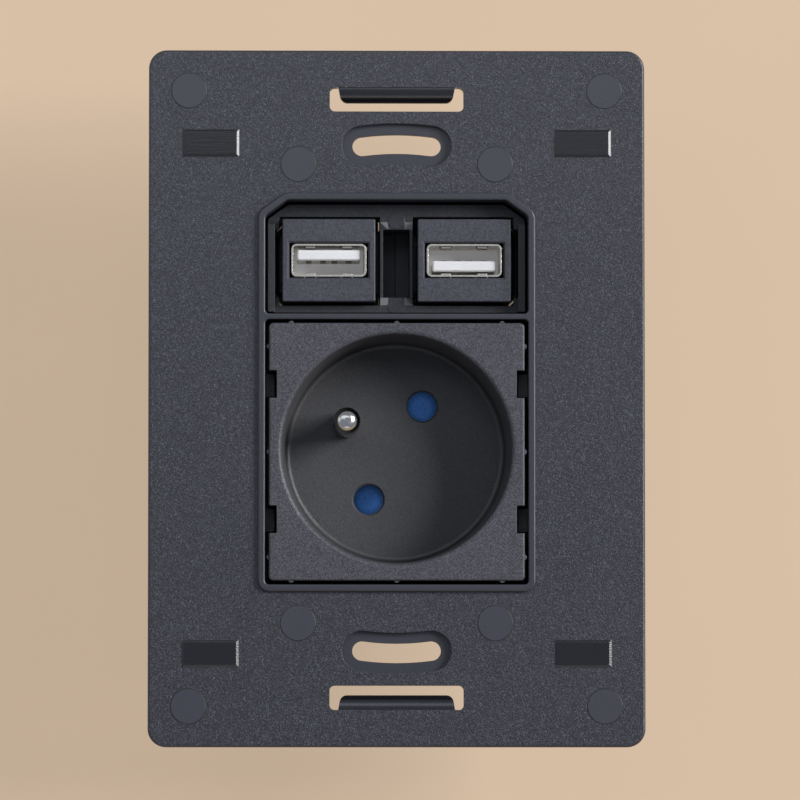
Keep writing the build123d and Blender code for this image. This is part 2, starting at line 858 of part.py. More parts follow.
def carrier_nib(side, room):
    """A wedge on the carrier's side that snaps into the collar, or with room its window."""
    outside = carrier_half
    start = carrier_front + carrier_nib_setback
    points = [
        (outside - carrier_wall / 2, start - room),
        (outside + carrier_nib_reach + room, start - room),
        (outside + carrier_nib_reach + room, start + carrier_nib_flat + room),
        (outside, start + carrier_nib_length + room),
        (outside - carrier_wall / 2, start + carrier_nib_length + room),
    ]
    half = carrier_nib_height / 2 + room
    nib = side_bar(points, -half, half)
    if side < 0:
        nib = half_turn(nib)
    return Pos(0, 0, module_height) * nib


def centre_facets():
    """Sloping cuts at the four corners of the bridge between the modules, beside its round marks."""
    outside = centre_window_half + carrier_centre_wall
    facets = []
    for side in (-1, 1):
        for end in (-1, 1):
            edge = centre_z + end * centre_window_height / 2
            near = side * (outside - centre_facet_width)
            points = [
                (side * outside, edge),
                (near, edge),
                (side * outside, edge + end * centre_facet_height),
            ]
            wedge = prism(Polygon(*points, align=None), carrier_front, carrier_front + centre_facet_depth)
            slope = Plane(
                origin=(near, carrier_front, edge),
                z_dir=(side / centre_facet_width, -1 / centre_facet_depth, -end / centre_facet_height),
            )
            facets.append(split(wedge, bisect_by=slope, keep=Keep.TOP))
    return facets


def carrier_rails(outline):
    """Rails on both sides of the carrier that stand forward, level with the modules."""
    top = opening_top - carrier_rail_drop
    rails = []
    for side in (-1, 1):
        middle = side * (side_wall_inside + carrier_half) / 2
        strip = Pos(middle, (usb_window_bottom + top) / 2) * Rectangle(carrier_wall, top - usb_window_bottom)
        rails.append(prism(strip & outline, nose_front, carrier_back))
    return rails


def usb_carrier():
    """Holder for the two modules, sunk in the upper window."""
    outline = offset(usb_window(), -carrier_gap)
    carrier = prism(outline, carrier_front, ledge_front)
    carrier -= prism(offset(outline, -carrier_wall), carrier_back, ledge_front)
    centre = Rectangle(2 * (centre_window_half + carrier_centre_wall), nose_height + 2 * nose_end_gap)
    carrier += prism(Pos(0, module_height) * centre, carrier_back, ledge_front)
    window = Pos(0, centre_z) * Rectangle(2 * centre_window_half, centre_window_height)
    floor_front = ledge_front - centre_floor_thickness - centre_step
    carrier -= prism(window, carrier_front, floor_front)
    carrier -= block(
        (-centre_window_half, 0),
        (floor_front, floor_front + centre_step),
        (centre_z - centre_window_height / 2, centre_z + centre_window_height / 2),
    )
    for side in (-1, 1):
        x = side * module_offset
        inner = x - side * (nose_width / 2 + lip_side_gap)
        outer = x + side * (nose_width / 2 + nose_end_gap)
        half = nose_height / 2 + nose_end_gap
        z_range = (module_height - half, module_height + half)
        carrier -= block((inner, outer), (carrier_front, carrier_back), z_range)
        gap_z = (centre_z - latch_gap_height / 2, centre_z + latch_gap_height / 2)
        carrier -= block((x, side * side_wall_inside), (carrier_front, carrier_back), gap_z)
        rib_y = (carrier_rib_front, carrier_rib_back)
        rib_z = (module_height - latch_gap_height / 2, module_height + latch_gap_height / 2)
        lip_rib_x = (inner - side * carrier_centre_wall / 2, inner + side * carrier_lip_rib)
        carrier += block(lip_rib_x, rib_y, rib_z)
        wall = side_wall_inside + carrier_wall / 2
        carrier += block((side * (side_wall_inside - carrier_latch_rib), side * wall), rib_y, rib_z)
        carrier += carrier_nib(side, 0)
    for facet in centre_facets():
        carrier -= facet
    for rail in carrier_rails(outline):
        carrier += rail
    for end in (-1, 1):
        mark = Pos(0, centre_z + end * carrier_mark_spacing / 2) * Circle(carrier_mark_radius)
        carrier += prism(mark & outline, carrier_front - carrier_mark_height, carrier_back)
    return carrier


def port_opening(front, rear):
    """The opening for a USB socket, with a bevelled mouth at its front."""
    outline = Rectangle(port_width, port_height)
    mouth_plane = Plane(origin=(0, front + port_bevel, 0), x_dir=(1, 0, 0), z_dir=(0, -1, 0))
    return prism(outline, front, rear) + extrude(mouth_plane * outline, port_bevel, taper=-45)


def board_room():
    return Rectangle(board_width + 2 * module_play, board_height + 2 * module_play)


def module_body_outline():
    """The module behind the carrier: wider than the nose all round."""
    lip_edge = -nose_width / 2 - lip_side_gap + carrier_lip_rib - module_lip_overlap
    half = module_half_height
    return Polygon(
        (lip_edge, -half),
        (module_latch_edge - module_corner_slope, -half),
        (module_latch_edge, -half + module_corner_slope),
        (module_latch_edge, half - module_corner_slope),
        (module_latch_edge - module_corner_slope, half),
        (lip_edge, half),
        align=None,
    )


def usb_housing():
    """Front half of a module: the nose, the fixed lip at -X and the sprung latch at +X."""
    nose = prism(RectangleRounded(nose_width, nose_height, nose_corner_radius), nose_front, shoulder_front)
    nose = fillet(front_edges(nose), nose_edge_radius)
    body = nose + prism(module_body_outline(), shoulder_front, module_middle)
    tooth_back = carrier_rib_front - module_play
    tooth_front = tooth_back - module_tooth_length
    lip_edge = -nose_width / 2 - lip_side_gap + carrier_lip_rib - module_lip_overlap
    half = module_latch_height / 2
    body += block((lip_edge, 0), (tooth_front, tooth_back), (-half, half))
    rib_edge = nose_width / 2 + latch_side_gap - carrier_latch_rib
    latch_outside = rib_edge - seat_clearance
    latch_inside = latch_outside - module_latch_thickness
    root = module_middle - module_latch_root
    body -= block(
        (latch_inside - module_latch_room, nose_width),
        (tooth_front - module_tooth_length, root),
        (-half - module_latch_room, half + module_latch_room),
    )
    tip = rib_edge + module_latch_overlap
    points = [
        (latch_inside, tooth_front),
        (latch_outside, tooth_front),
        (tip, tooth_back),
        (latch_outside, tooth_back),
        (latch_outside, root),
        (latch_inside, root),
    ]
    body += side_bar(points, -half, half)
    body -= port_opening(nose_front, module_middle)
    body -= prism(board_room(), board_front, module_middle)
    return body


def usb_rear_cap():
    cap = prism(module_body_outline(), module_middle, cap_back)
    cap = chamfer(cap.faces().sort_by(Axis.Y)[-1].edges(), cap_edge_bevel)
    cap -= behind(port_opening(nose_front, module_middle))
    cap -= prism(board_room(), module_middle, board_front + board_thickness)
    return cap


def behind(piece):
    """The mirror image of a front piece in the module's rear half."""
    return mirror(piece, about=Plane(origin=(0, module_middle, 0), z_dir=(0, 1, 0)))


def shell_spring(x, end):
    """A spring tongue bent inwards from the shell's broad wall."""
    wall = end * shell_height / 2
    start = shell_front + shell_spring_setback
    root = start + shell_spring_length
    inside = wall - end * shell_sheet
    points = [
        (root + shell_sheet, wall),
        (root, wall),
        (start + shell_spring_crest, wall - end * shell_spring_dip),
        (start + shell_spring_gap, wall - end * shell_spring_tip_dip),
        (start + shell_spring_gap, inside - end * shell_spring_tip_dip),
        (start + shell_spring_crest, inside - end * shell_spring_dip),
        (root, inside),
        (root + shell_sheet, inside),
    ]
    width = shell_spring_width - 2 * shell_spring_gap
    tongue = extrude(Plane.YZ * Polygon(*points, align=None), width / 2, both=True)
    return Pos(x, 0, 0) * tongue


def usb_shell():
    """Folded steel shell with two spring tongues in each broad wall."""
    outer = RectangleRounded(shell_width, shell_height, shell_corner_radius)
    inner = RectangleRounded(
        shell_width - 2 * shell_sheet,
        shell_height - 2 * shell_sheet,
        shell_corner_radius - shell_sheet,
    )
    shell = prism(outer - inner, shell_front, shell_back)
    start = shell_front + shell_spring_setback
    for side in (-1, 1):
        x = side * shell_spring_spacing / 2
        for end in (-1, 1):
            shell -= block(
                (x - shell_spring_width / 2, x + shell_spring_width / 2),
                (start, start + shell_spring_length),
                (end * (shell_height / 2 - shell_sheet - insulator_clearance), end * shell_height),
            )
            shell += shell_spring(x, end)
    return shell


def tongue_face():
    """Height of the tongue's contact face: the tongue lies near the shell's lower wall."""
    return -shell_height / 2 + shell_sheet + tongue_offset + tongue_thickness


def usb_tongue():
    """White insulator: a block at the rear, and the tongue with a groove for each contact."""
    top = tongue_face()
    half = tongue_width / 2
    piece = block((-half, half), (tongue_front, insulator_front), (top - tongue_thickness, top))
    piece = fillet(piece.edges().filter_by(Axis.Y), tongue_edge_radius)
    piece = chamfer(front_edges(piece), tongue_tip_bevel)
    block_width = shell_width - 2 * shell_sheet - 2 * insulator_clearance
    block_height = shell_height - 2 * shell_sheet - 2 * insulator_clearance
    rear_block = RectangleRounded(block_width, block_height, shell_corner_radius - shell_sheet)
    piece += prism(rear_block, insulator_front, shell_back)
    groove = contact_width / 2 + contact_groove_clearance
    groove_floor = top - contact_groove_depth
    for place in contact_places:
        piece -= block(
            (place - groove, place + groove),
            (tongue_front + tongue_sink, shell_back),
            (groove_floor, groove_floor + contact_sheet + contact_groove_clearance),
        )
        piece -= block(
            (place - groove, place + groove),
            (tongue_front + tongue_sink, insulator_front),
            (groove_floor, top + past),
        )
    return piece


def usb_contacts():
    """Four contact springs, each bowed out of its groove and ending at the board."""
    low = tongue_face() - contact_groove_depth
    start = tongue_front + tongue_sink + contact_groove_clearance
    bow = start + contact_crest
    settle = insulator_front - tongue_sink
    points = [
        (start, low),
        (bow, low + contact_bow),
        (settle, low),
        (board_front, low),
        (board_front, low + contact_sheet),
        (settle, low + contact_sheet),
        (bow, low + contact_bow + contact_sheet),
        (start, low + contact_sheet),
    ]
    spring = extrude(Plane.YZ * Polygon(*points, align=None), contact_width / 2, both=True)
    return [Pos(place, 0, 0) * spring for place in contact_places]


def usb_link_board():
    return prism(Rectangle(board_width, board_height), board_front, board_front + board_thickness)


def right_module(piece):
    return Pos(module_offset, 0, module_height) * piece


def left_module(piece):
    return Pos(-module_offset, 0, module_height) * half_turn(piece)


def save(name, *solids):
    shape = solids[0] if len(solids) == 1 else Compound(children=list(solids))
    shape.label = name
    export_step(shape, f"parts/{name}.step")


def main():
    os.makedirs("parts", exist_ok=True)
    save("mounting_plate", mounting_plate())
    save("socket_face", socket_face())
    save("socket_base", socket_base())
    save("safety_shutter", safety_shutter())
    save("shutter_spring", shutter_spring())
    save("earth_pin", earth_pin())
    save("earth_strap", earth_strap())
    save("live_contact", live_contact())
    save("neutral_contact", neutral_contact())
    save("terminal_cages", *[terminal_cage(side, z) for side, z in clamps()])
    save("terminal_screws", *[terminal_screw(side, z) for side, z in clamps()])
    save("base_screws", *[base_screw(x, z) for x, z in base_screw_places()])
    save("usb_carrier", usb_carrier())
    for name, place in (("left", left_module), ("right", right_module)):
        save(f"usb_housing_{name}", place(usb_housing()))
        save(f"usb_rear_cap_{name}", place(usb_rear_cap()))
        save(f"usb_link_board_{name}", place(usb_link_board()))
        save(f"usb_front_shell_{name}", place(usb_shell()))
        save(f"usb_rear_shell_{name}", place(behind(usb_shell())))
        save(f"usb_front_tongue_{name}", place(usb_tongue()))
        save(f"usb_rear_tongue_{name}", place(behind(usb_tongue())))
        save(f"usb_front_contacts_{name}", *[place(spring) for spring in usb_contacts()])
        save(f"usb_rear_contacts_{name}", *[place(behind(spring)) for spring in usb_contacts()])


main()
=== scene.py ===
import json
import math

import bmesh
import bpy
from bpy.props import FloatProperty, FloatVectorProperty, PointerProperty
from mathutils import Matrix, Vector


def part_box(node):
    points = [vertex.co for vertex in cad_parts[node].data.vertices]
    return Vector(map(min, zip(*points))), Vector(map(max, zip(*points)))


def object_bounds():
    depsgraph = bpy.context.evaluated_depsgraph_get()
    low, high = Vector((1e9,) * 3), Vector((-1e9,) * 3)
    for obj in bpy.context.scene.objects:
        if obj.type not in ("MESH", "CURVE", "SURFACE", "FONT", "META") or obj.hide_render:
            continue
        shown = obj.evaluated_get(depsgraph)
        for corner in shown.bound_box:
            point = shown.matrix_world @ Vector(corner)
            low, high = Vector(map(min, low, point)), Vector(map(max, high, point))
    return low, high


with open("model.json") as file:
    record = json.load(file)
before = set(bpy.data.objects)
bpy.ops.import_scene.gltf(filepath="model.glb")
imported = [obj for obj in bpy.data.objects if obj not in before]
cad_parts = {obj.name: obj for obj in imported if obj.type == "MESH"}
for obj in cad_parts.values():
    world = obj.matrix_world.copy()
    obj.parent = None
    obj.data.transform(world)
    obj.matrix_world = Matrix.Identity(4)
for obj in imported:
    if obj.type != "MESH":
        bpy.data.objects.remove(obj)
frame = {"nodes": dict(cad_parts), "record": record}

bl_info = {
    "name": "Power Socket Finish",
    "version": (1, 0, 0),
    "blender": (4, 5, 0),
    "location": "View3D > Sidebar > Power Socket",
    "description": "Dresses the pieces of a built-in power socket with their finishes and sets its studio",
    "category": "Material",
}

OBJECT_LOW, OBJECT_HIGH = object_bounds()
SIDES = ("left", "right")
ENDS = ("front", "rear")
FAR_AWAY = 1.0

# Places on the mounting plate, in metres: to either side of its middle, along it and in depth
RIM_HEIGHT = 0.0009
PLATE_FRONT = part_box("mounting_plate")[0].y + RIM_HEIGHT
LEVEL_TOLERANCE = 0.00003
PAD_ABOVE = 0.00001
PAD_ACROSS = (0.027, 0.038)
PAD_ALONG = (0.0418, 0.0474)
LIP_BEHIND = 0.0001
LIP_ACROSS = (0.0, 0.0105)
LIP_ALONG = (0.0502, 0.0545)
DISC_PLACES = ((0.0363, 0.0538), (0.0363, -0.0538), (0.0172, 0.0409), (0.0172, -0.0393))
DISC_RADIUS = 0.00298
GROOVE_RADIUS = 0.00320

# Places in the socket insert, in metres
MOUNT_PLACES = {mount["name"]: mount["pos_m"] for mount in frame["record"]["mounts"]}
CONTACT_HOLES = ("live_entry", "neutral_entry")
CONTACT_PLACES = [(MOUNT_PLACES[name][0], MOUNT_PLACES[name][2]) for name in CONTACT_HOLES]
RECESS_START = (-0.0036, -0.0026)
# The foot of the recess, where painted shade darkens it
RECESS_FOOT = (0.0099, 0.0109)
# Painted light and shade on the shutter: lighter near each hole's middle, darker towards its rim
HOLE_SHADE_REACH = (0.0015, 0.0028)

# Places in the USB window and close behind it, in metres
WINDOW_MIDDLE = 0.0238
FACET_ACROSS = (0.00145, 0.00285)
FACET_ALONG = (0.0060, 0.0073)
INSULATOR_REAR = (0.0078, 0.0088)
SHADE_ACROSS = (0.0190, 0.0300)
SHADE_ALONG = (0.0080, 0.0160)

# The shared effects: ranges of their noise and masks, and shares and stretches of their scale
PIT_SCALE = 0.8
PIT_DEPTH = 0.5
PATCH_SCALE = 0.02
# Painted highlights: the range of fine noise that marks the glints on the grain's peaks
PAINTED_GLINT_RANGE = (0.60, 0.76)
SPECKLE_RANGE = (0.34, 0.66)
EDGE_RANGE = (0.995, 0.85)
EDGE_SAMPLES = 6
MOTE_SCALE = 8.0
SMEAR_RANGE = (0.45, 0.75)
MOTE_RANGE = (0.07, 0.02)
DRAWN_STRETCH = (1.0, 0.04, 1.0)
DRAWN_PATCH_SCALE = 0.06
MILLED_STRETCH = (0.03, 0.0, 1.0)

# Each moulded finish: its grain, roughness, share of painted glints, contrast of its speckle and lift of
# its edges
# The lift of the edges is partly wear and partly painted highlight
MOULDED = {
    "face_plastic": {"grain": "face", "roughness": 0.42, "painted_glint": 0.4, "contrast": 0.45, "edge": 1.5},
    "base_plastic": {"grain": "face", "roughness": 0.5, "painted_glint": 0.25, "contrast": 0.2, "edge": 1.5},
    "carrier_plastic": {"grain": "satin", "roughness": 0.42, "painted_glint": 0.1, "contrast": 0.3, "edge": 1.5},
    "module_plastic": {"grain": "satin", "roughness": 0.42, "painted_glint": 0.12, "contrast": 0.3, "edge": 1.5},
    "shutter_plastic": {"grain": "satin", "roughness": 0.38, "painted_glint": 0.05, "contrast": 0.2, "edge": 1.5},
    "white_insulator": {"grain": "satin", "roughness": 0.42, "painted_glint": 0.0, "contrast": 0.02, "edge": 1.1},
    "board_laminate": {"grain": "satin", "roughness": 0.3, "painted_glint": 0.0, "contrast": 0.2, "edge": 1.5},
}

# What the moulded finishes share: factors of their colours, shares, and marks in widths of the grain
MOULDED_TONE = (0.86, 1.14)
# How much lighter the glints on the grain's peaks are painted: painted highlights
MOULDED_PAINTED_GLINT = 2.4
MOULDED_GLOSS = 0.3
MOULDED_DUST = 0.10
MOULDED_SMEAR = 0.88
MOULDED_MARKS = 60
# Share of the lighter edges: partly wear, partly painted highlight
EDGE_WEAR_AND_HIGHLIGHT = 0.6
DUST_COLOUR = (0.35, 0.34, 0.32)

# The mounting plate's finish and its painted light: factors of its colour, shares, roughness and marks in
# widths of the grain
PLATE_TONE = (0.88, 1.12)
# Painted sheen: the smooth places off the grained front are painted lighter
PLATE_SMOOTH_SHEEN_TONE = (1.20, 1.36)
# Painted highlights: how much lighter the glints on the plate's grain are, and their share
PLATE_PAINTED_GLINT = 3.5
PLATE_PAINTED_GLINT_SHARE = 0.7
PLATE_CONTRAST = 1.0
PLATE_GLOSS = 0.6
PLATE_DUST = 0.12
PLATE_MARKS = 40
PLATE_SMOOTH_ROUGHNESS = 0.40
PLATE_GRAIN_ROUGHNESS = 0.43
PLATE_SMEAR = 0.04
PAD_POLISH = 0.16
PAD_LINE_TONE = (0.2, 1.8)
# Painted sheen: the smooth discs are painted lighter than the plate
DISC_SHEEN_TONE = 1.75
# Painted shade: the thin groove round each disc is painted darker
GROOVE_SHADE_TONE = 0.35

# What the other plastic pieces add to their moulded finish, with the painted shade and glow that some carry
RECESS_CONTRAST = 0.16
# Painted shade along the recess's foot
FOOT_SHADE_TONE = 0.6
# Painted light and shade in the contact holes: factors near the middle and towards the rim
HOLE_SHADE_TONE = (1.15, 0.4)
# Painted glow of the shutter, which is no lamp
SHUTTER_PAINTED_GLOW = 0.21
# Painted glow of the insulators' rear, which is no lamp
INSULATOR_PAINTED_GLOW = 0.21
INSULATOR_SOFTNESS = 0.25
INSULATOR_SOFT_DEPTH = 0.0008
INSULATOR_SOFT_SPREAD = (1.0, 1.0, 1.0)

# The roughness of each drawn metal
DRAWN = {
    "spring_steel": 0.28,
    "brass_sheet": 0.30,
    "zinc_steel": 0.34,
    "shell_nickel": 0.28,
    "gilt_contact": 0.25,
}

# What the drawn metals share: factors of their colours and roughness, shares, and marks in widths of a line
DRAWN_TONE = (0.82, 1.08)
DRAWN_RANGE = (0.3, 0.7)
DRAWN_ROUGHNESS = (0.8, 1.25)
DRAWN_SMEAR = 0.25
DRAWN_SMEAR_TONE = 0.6
DRAWN_MARKS = 40
DRAWN_EDGE = 0.5

# The earth pin's turned rings and tarnish: the rings' scale per metre, and depths and widths in metres
RING_SCALE = 16000.0
RING_DEPTH = 0.0000012
RING_RANGE = (0.3, 0.7)
RING_ROUGHNESS = (0.13, 0.22)
RING_STRETCH = 0.8
PIN_ACROSS = (1.0, 0.0, 1.0)
PIN_MARKS = 0.002
PIN_TARNISH = 0.5
TARNISH_COLOUR = (0.36, 0.33, 0.26)

# Plain colours and the tint of the front light
WHITE = (1.0, 1.0, 1.0)
BLACK = (0.0, 0.0, 0.0)
COOL_TINT = (0.88, 0.95, 1.0)

# The studio's sweep and camera: sizes and places in metres, factors of its colour and its finish
SWEEP_TOP = 1.5
SWEEP_DROP = 0.6
SWEEP_BEND = 0.12
SWEEP_STEPS = 16
SWEEP_FRONT = -0.35
SWEEP_HALF_WIDTH = 2.0
SWEEP_PATCH_SCALE = 30.0
SWEEP_TONE = (0.985, 1.015)
SWEEP_ROUGHNESS = 0.9
SWEEP_GLOSS = 0.1
CAMERA_REACH = 10.0

# Each soft box: azimuth and elevation in degrees, distance, width and height, tint and power setting
SOFT_BOXES = {
    "key_light": (51.0, 15.0, 2.5, 1.1, 1.1, WHITE, "key_power"),
    "front_light": (-19.0, 28.0, 0.45, 0.5, 0.2, COOL_TINT, "front_power"),
    "fill_light": (0.0, -60.0, 1.1, 0.6, 0.4, WHITE, "fill_power"),
    "side_light": (-66.0, 10.0, 1.2, 0.5, 0.6, WHITE, "side_power"),
    "rear_light_left": (150.0, 30.0, 1.2, 0.6, 0.6, WHITE, "rear_power"),
    "rear_light_right": (-140.0, 20.0, 1.2, 0.6, 0.6, WHITE, "rear_power"),
}


# Settings

def colour(name, description, default):
    """A colour that a user may change, as linear red, green and blue."""
    return FloatVectorProperty(
        name=name, description=description, default=default, subtype="COLOR", min=0.0, max=1.0
    )


def length(name, description, default):
    """A length that a user may change, in metres."""
    return FloatProperty(
        name=name, description=description, default=default, unit="LENGTH", subtype="DISTANCE", precision=5
    )


def angle(name, description, degrees):
    """An angle that a user may change, given in degrees."""
    return FloatProperty(
        name=name, description=description, default=math.radians(degrees), unit="ROTATION", subtype="ANGLE"
    )


def level(name, description, default):
    """A share or a strength that a user may change."""
    return FloatProperty(name=name, description=description, default=default, min=0.0)


class SocketColours(bpy.types.PropertyGroup):
    """The base colour of each finish."""

    plate: colour("Plate", "Grained plastic of the mounting plate", (0.0200, 0.0203, 0.0275))
    # Painted shade: pads and catch lips are darker copies of the plate's plastic, for the sheen they don't
    # catch
    pad: colour("Pads", "Polished pads on the plate's front", (0.004, 0.004, 0.006))
    lip: colour("Catch lips", "Polished lips in the hook slots", (0.008, 0.008, 0.011))
    face: colour("Socket face", "Fine plastic of the socket insert", (0.066, 0.066, 0.079))
    recess: colour("Recess", "Plain plastic inside the socket's recess", (0.061, 0.061, 0.066))
    carrier: colour("USB carrier", "Plastic of the carrier behind the USB modules", (0.029, 0.0295, 0.035))
    # Painted highlight: the facets are painted pale for the light they reflect, not worn
    facet: colour("Carrier facets", "Worn facets in the carrier's middle window", (0.16, 0.16, 0.175))
    module: colour("USB modules", "Satin plastic of the USB noses and caps", (0.057, 0.0585, 0.073))
    base: colour("Rear housing", "Plastic of the housing behind the panel", (0.030, 0.031, 0.034))
    shutter: colour("Shutter", "Blue plastic behind the contact holes", (0.055, 0.165, 0.480))
    nickel: colour("Nickel", "Bright plating of the earth pin", (0.42, 0.415, 0.40))
    shell: colour("USB shell", "Plated sheet of the USB shells", (0.62, 0.58, 0.50))
    tongue: colour("USB tongue", "White insulator of the USB sockets", (0.76, 0.76, 0.79))
    gilt: colour("USB contacts", "Gilt contact springs", (0.34, 0.29, 0.20))
    brass: colour("Brass", "Contacts, straps and wire clamps", (0.72, 0.52, 0.24))
    zinc: colour("Zinc plate", "Screws and spring", (0.62, 0.63, 0.64))
    board: colour("Board", "Lacquered board in the USB modules", (0.02, 0.15, 0.06))
    backdrop: colour("Backdrop", "Plain pale studio sweep", (0.70, 0.535, 0.392))
    surroundings: colour("Surroundings", "Pale studio beyond the sweep", (0.38, 0.41, 0.48))


class SocketGrain(bpy.types.PropertyGroup):
    """Sizes of the texture on the moulded and metal surfaces."""

    plate_size: length("Plate grain", "Width of one bump of the plate's grain", 0.00022)
    plate_depth: length("Plate grain depth", "Height of the plate's grain", 0.000040)
    face_size: length("Face grain", "Width of one bump of the insert's grain", 0.00024)
    face_depth: length("Face grain depth", "Height of the insert's grain", 0.000035)
    satin_size: length("Satin grain", "Width of one bump of the satin pieces", 0.00030)
    satin_depth: length("Satin grain depth", "Height of the satin pieces' grain", 0.000010)
    edge_radius: length("Edge radius", "Radius that breaks the moulded edges", 0.00012)
    pad_line_size: length("Pad lines", "Width of one line along the polished pads", 0.00022)
    pad_line_depth: length("Pad line depth", "Depth of the lines along the pads", 0.000014)
    brush_size: length("Brush marks", "Width of one drawn line on the metal", 0.00012)
    brush_depth: length("Brush depth", "Depth of the drawn lines on the metal", 0.000002)


class SocketStage(bpy.types.PropertyGroup):
    """The camera and the studio lights."""

    camera_distance: length("Camera distance", "From the plate's front to the camera", 1.2)
    camera_azimuth: angle("Camera azimuth", "Negative is from the left", -1.0)
    camera_elevation: angle("Camera elevation", "Negative is from below", -3.4)
    view_width: length("View width", "Width that the picture covers at the plate", 0.1396)
    aim_right: length("Aim right", "Picture's centre, to the right of the plate's middle", 0.00057)
    aim_up: length("Aim up", "Picture's centre, above the plate's middle", -0.00038)
    key_power: level("Key light", "Watts of the large far soft box on the right", 78.0)
    front_power: level("Front light", "Watts of the small near soft box above the plate", 0.44)
    fill_power: level("Fill light", "Watts of the weak card below", 0.7)
    side_power: level("Side light", "Watts of the weak card on the left", 0.8)
    rear_power: level("Rear light", "Watts of each soft box behind the panel", 7.0)
    ambient: level("Ambient", "Strength of the studio's surroundings", 0.055)
    backdrop_glow: level("Backdrop glow", "Share of the backdrop that keeps its colour in the shade", 0.7)
    backdrop_gap: length("Backdrop gap", "From the rear of the socket to the backdrop", 0.0015)


# Node helpers

def add(tree, kind, inputs=None, **settings):
    """A new node with its settings, and with each input set to a value or linked to a socket."""
    node = tree.nodes.new(kind)
    for name, value in settings.items():
        setattr(node, name, value)
    for name, value in (inputs or {}).items():
        if isinstance(value, bpy.types.NodeSocket):
            tree.links.new(value, node.inputs[name])
        else:
            node.inputs[name].default_value = value
    return node


def calculate(tree, operation, first, second=0.0):
    """The result of a Math node on two values or sockets."""
    return add(tree, "ShaderNodeMath", {0: first, 1: second}, operation=operation).outputs[0]


def times(tree, first, second):
    """The product of two values or sockets."""
    return calculate(tree, "MULTIPLY", first, second)


def vector_math(tree, operation, first, second=(0.0, 0.0, 0.0), output="Vector"):
    """The result of a Vector Math node on two vectors or sockets."""
    return add(tree, "ShaderNodeVectorMath", {0: first, 1: second}, operation=operation).outputs[output]


def remap(tree, value, low, high, to_low=0.0, to_high=1.0):
    """A value moved from one range to another, and kept within it."""
    inputs = {"Value": value, "From Min": low, "From Max": high, "To Min": to_low, "To Max": to_high}
    return add(tree, "ShaderNodeMapRange", inputs).outputs["Result"]


def noise(tree, place, scale, detail, roughness=0.5, distortion=0.0):
    """Noise over a place, from 0 to 1."""
    inputs = {"Vector": place, "Scale": scale, "Detail": detail, "Roughness": roughness}
    return add(tree, "ShaderNodeTexNoise", {**inputs, "Distortion": distortion}).outputs["Fac"]


def cells(tree, place, scale):
    """The distance to the nearest of some scattered points."""
    return add(tree, "ShaderNodeTexVoronoi", {"Vector": place, "Scale": scale}).outputs["Distance"]


def opaque(value):
    """A socket as it is, or a colour with full alpha."""
    return value if isinstance(value, bpy.types.NodeSocket) else (*value[:3], 1.0)


def blend_colours(tree, share, first, second, blend_type="MIX"):
    """Two colours mixed by a share."""
    inputs = {0: share, 6: opaque(first), 7: opaque(second)}
    return add(tree, "ShaderNodeMix", inputs, data_type="RGBA", blend_type=blend_type).outputs[2]


def cover(tree, mask, share, under, over):
    """A colour laid thinly over another where a mask is set."""
    return blend_colours(tree, times(tree, mask, share), under, over)


def shade(value, factor):
    """A colour made darker or lighter by a factor."""
    return tuple(min(1.0, part * factor) for part in value)


def toned(tree, tone, base, factors):
    """A colour that wanders between two factors of itself."""
    return blend_colours(tree, tone, shade(base, factors[0]), shade(base, factors[1]))


def speckled(tree, surface, speckle, contrast):
    """A colour made lighter and darker by the speckle of its grain."""
    factor = remap(tree, speckle, 0.0, 1.0, 1.0 - contrast, 1.0 + contrast)
    return blend_colours(tree, 1.0, surface, factor, "MULTIPLY")


def object_place(tree):
    """The surface point in the frame, in metres."""
    return add(tree, "ShaderNodeTexCoord").outputs["Object"]


def object_axis(tree, axis):
    """A coordinate of the surface point in the frame, in metres."""
    return add(tree, "ShaderNodeSeparateXYZ", {"Vector": object_place(tree)}).outputs[axis]


def distance_along(tree, axis, middle=0.0):
    """How far the surface point lies from a middle along one axis, to either side."""
    return calculate(tree, "ABSOLUTE", calculate(tree, "SUBTRACT", object_axis(tree, axis), middle))


def at_level(tree, height, value):
    """A mask of the faces that lie at one level."""
    compare = {0: height, 1: value, 2: LEVEL_TOLERANCE}
    return add(tree, "ShaderNodeMath", compare, operation="COMPARE").outputs[0]


def within(tree, value, low, high):
    """A mask of where a value lies between two limits."""
    above = calculate(tree, "GREATER_THAN", value, low)
    return times(tree, above, calculate(tree, "LESS_THAN", value, high))


def mirrored_region(tree, across, along, middle=0.0):
    """A mask of like places, between limits to either side and both above and below a middle height."""
    beside = within(tree, distance_along(tree, "X"), *across)
    return times(tree, beside, within(tree, distance_along(tree, "Z", middle), *along))


def nearest_place(tree, side, places):
    """The distance to the nearest of some places, each given to the side and up."""
    height = object_axis(tree, "Z")
    nearest = FAR_AWAY
    for place_side, place_height in places:
        across = calculate(tree, "SUBTRACT", side, place_side)
        up = calculate(tree, "SUBTRACT", height, place_height)
        squares = calculate(tree, "ADD", times(tree, across, across), times(tree, up, up))
        nearest = calculate(tree, "MINIMUM", nearest, calculate(tree, "SQRT", squares))
    return nearest


def disc_masks(tree):
    """Masks of the smooth discs, right through the plate, and of the thin grooves round them."""
    nearest = nearest_place(tree, distance_along(tree, "X"), DISC_PLACES)
    disc = calculate(tree, "LESS_THAN", nearest, DISC_RADIUS)
    return disc, within(tree, nearest, DISC_RADIUS, GROOVE_RADIUS)


def bump(tree, height, depth, normal=None):
    """A normal from a height and its depth in metres."""
    inputs = {"Height": height, "Distance": depth, "Strength": 1.0}
    if normal is not None:
        inputs["Normal"] = normal
    return add(tree, "ShaderNodeBump", inputs).outputs["Normal"]


# Shared effects

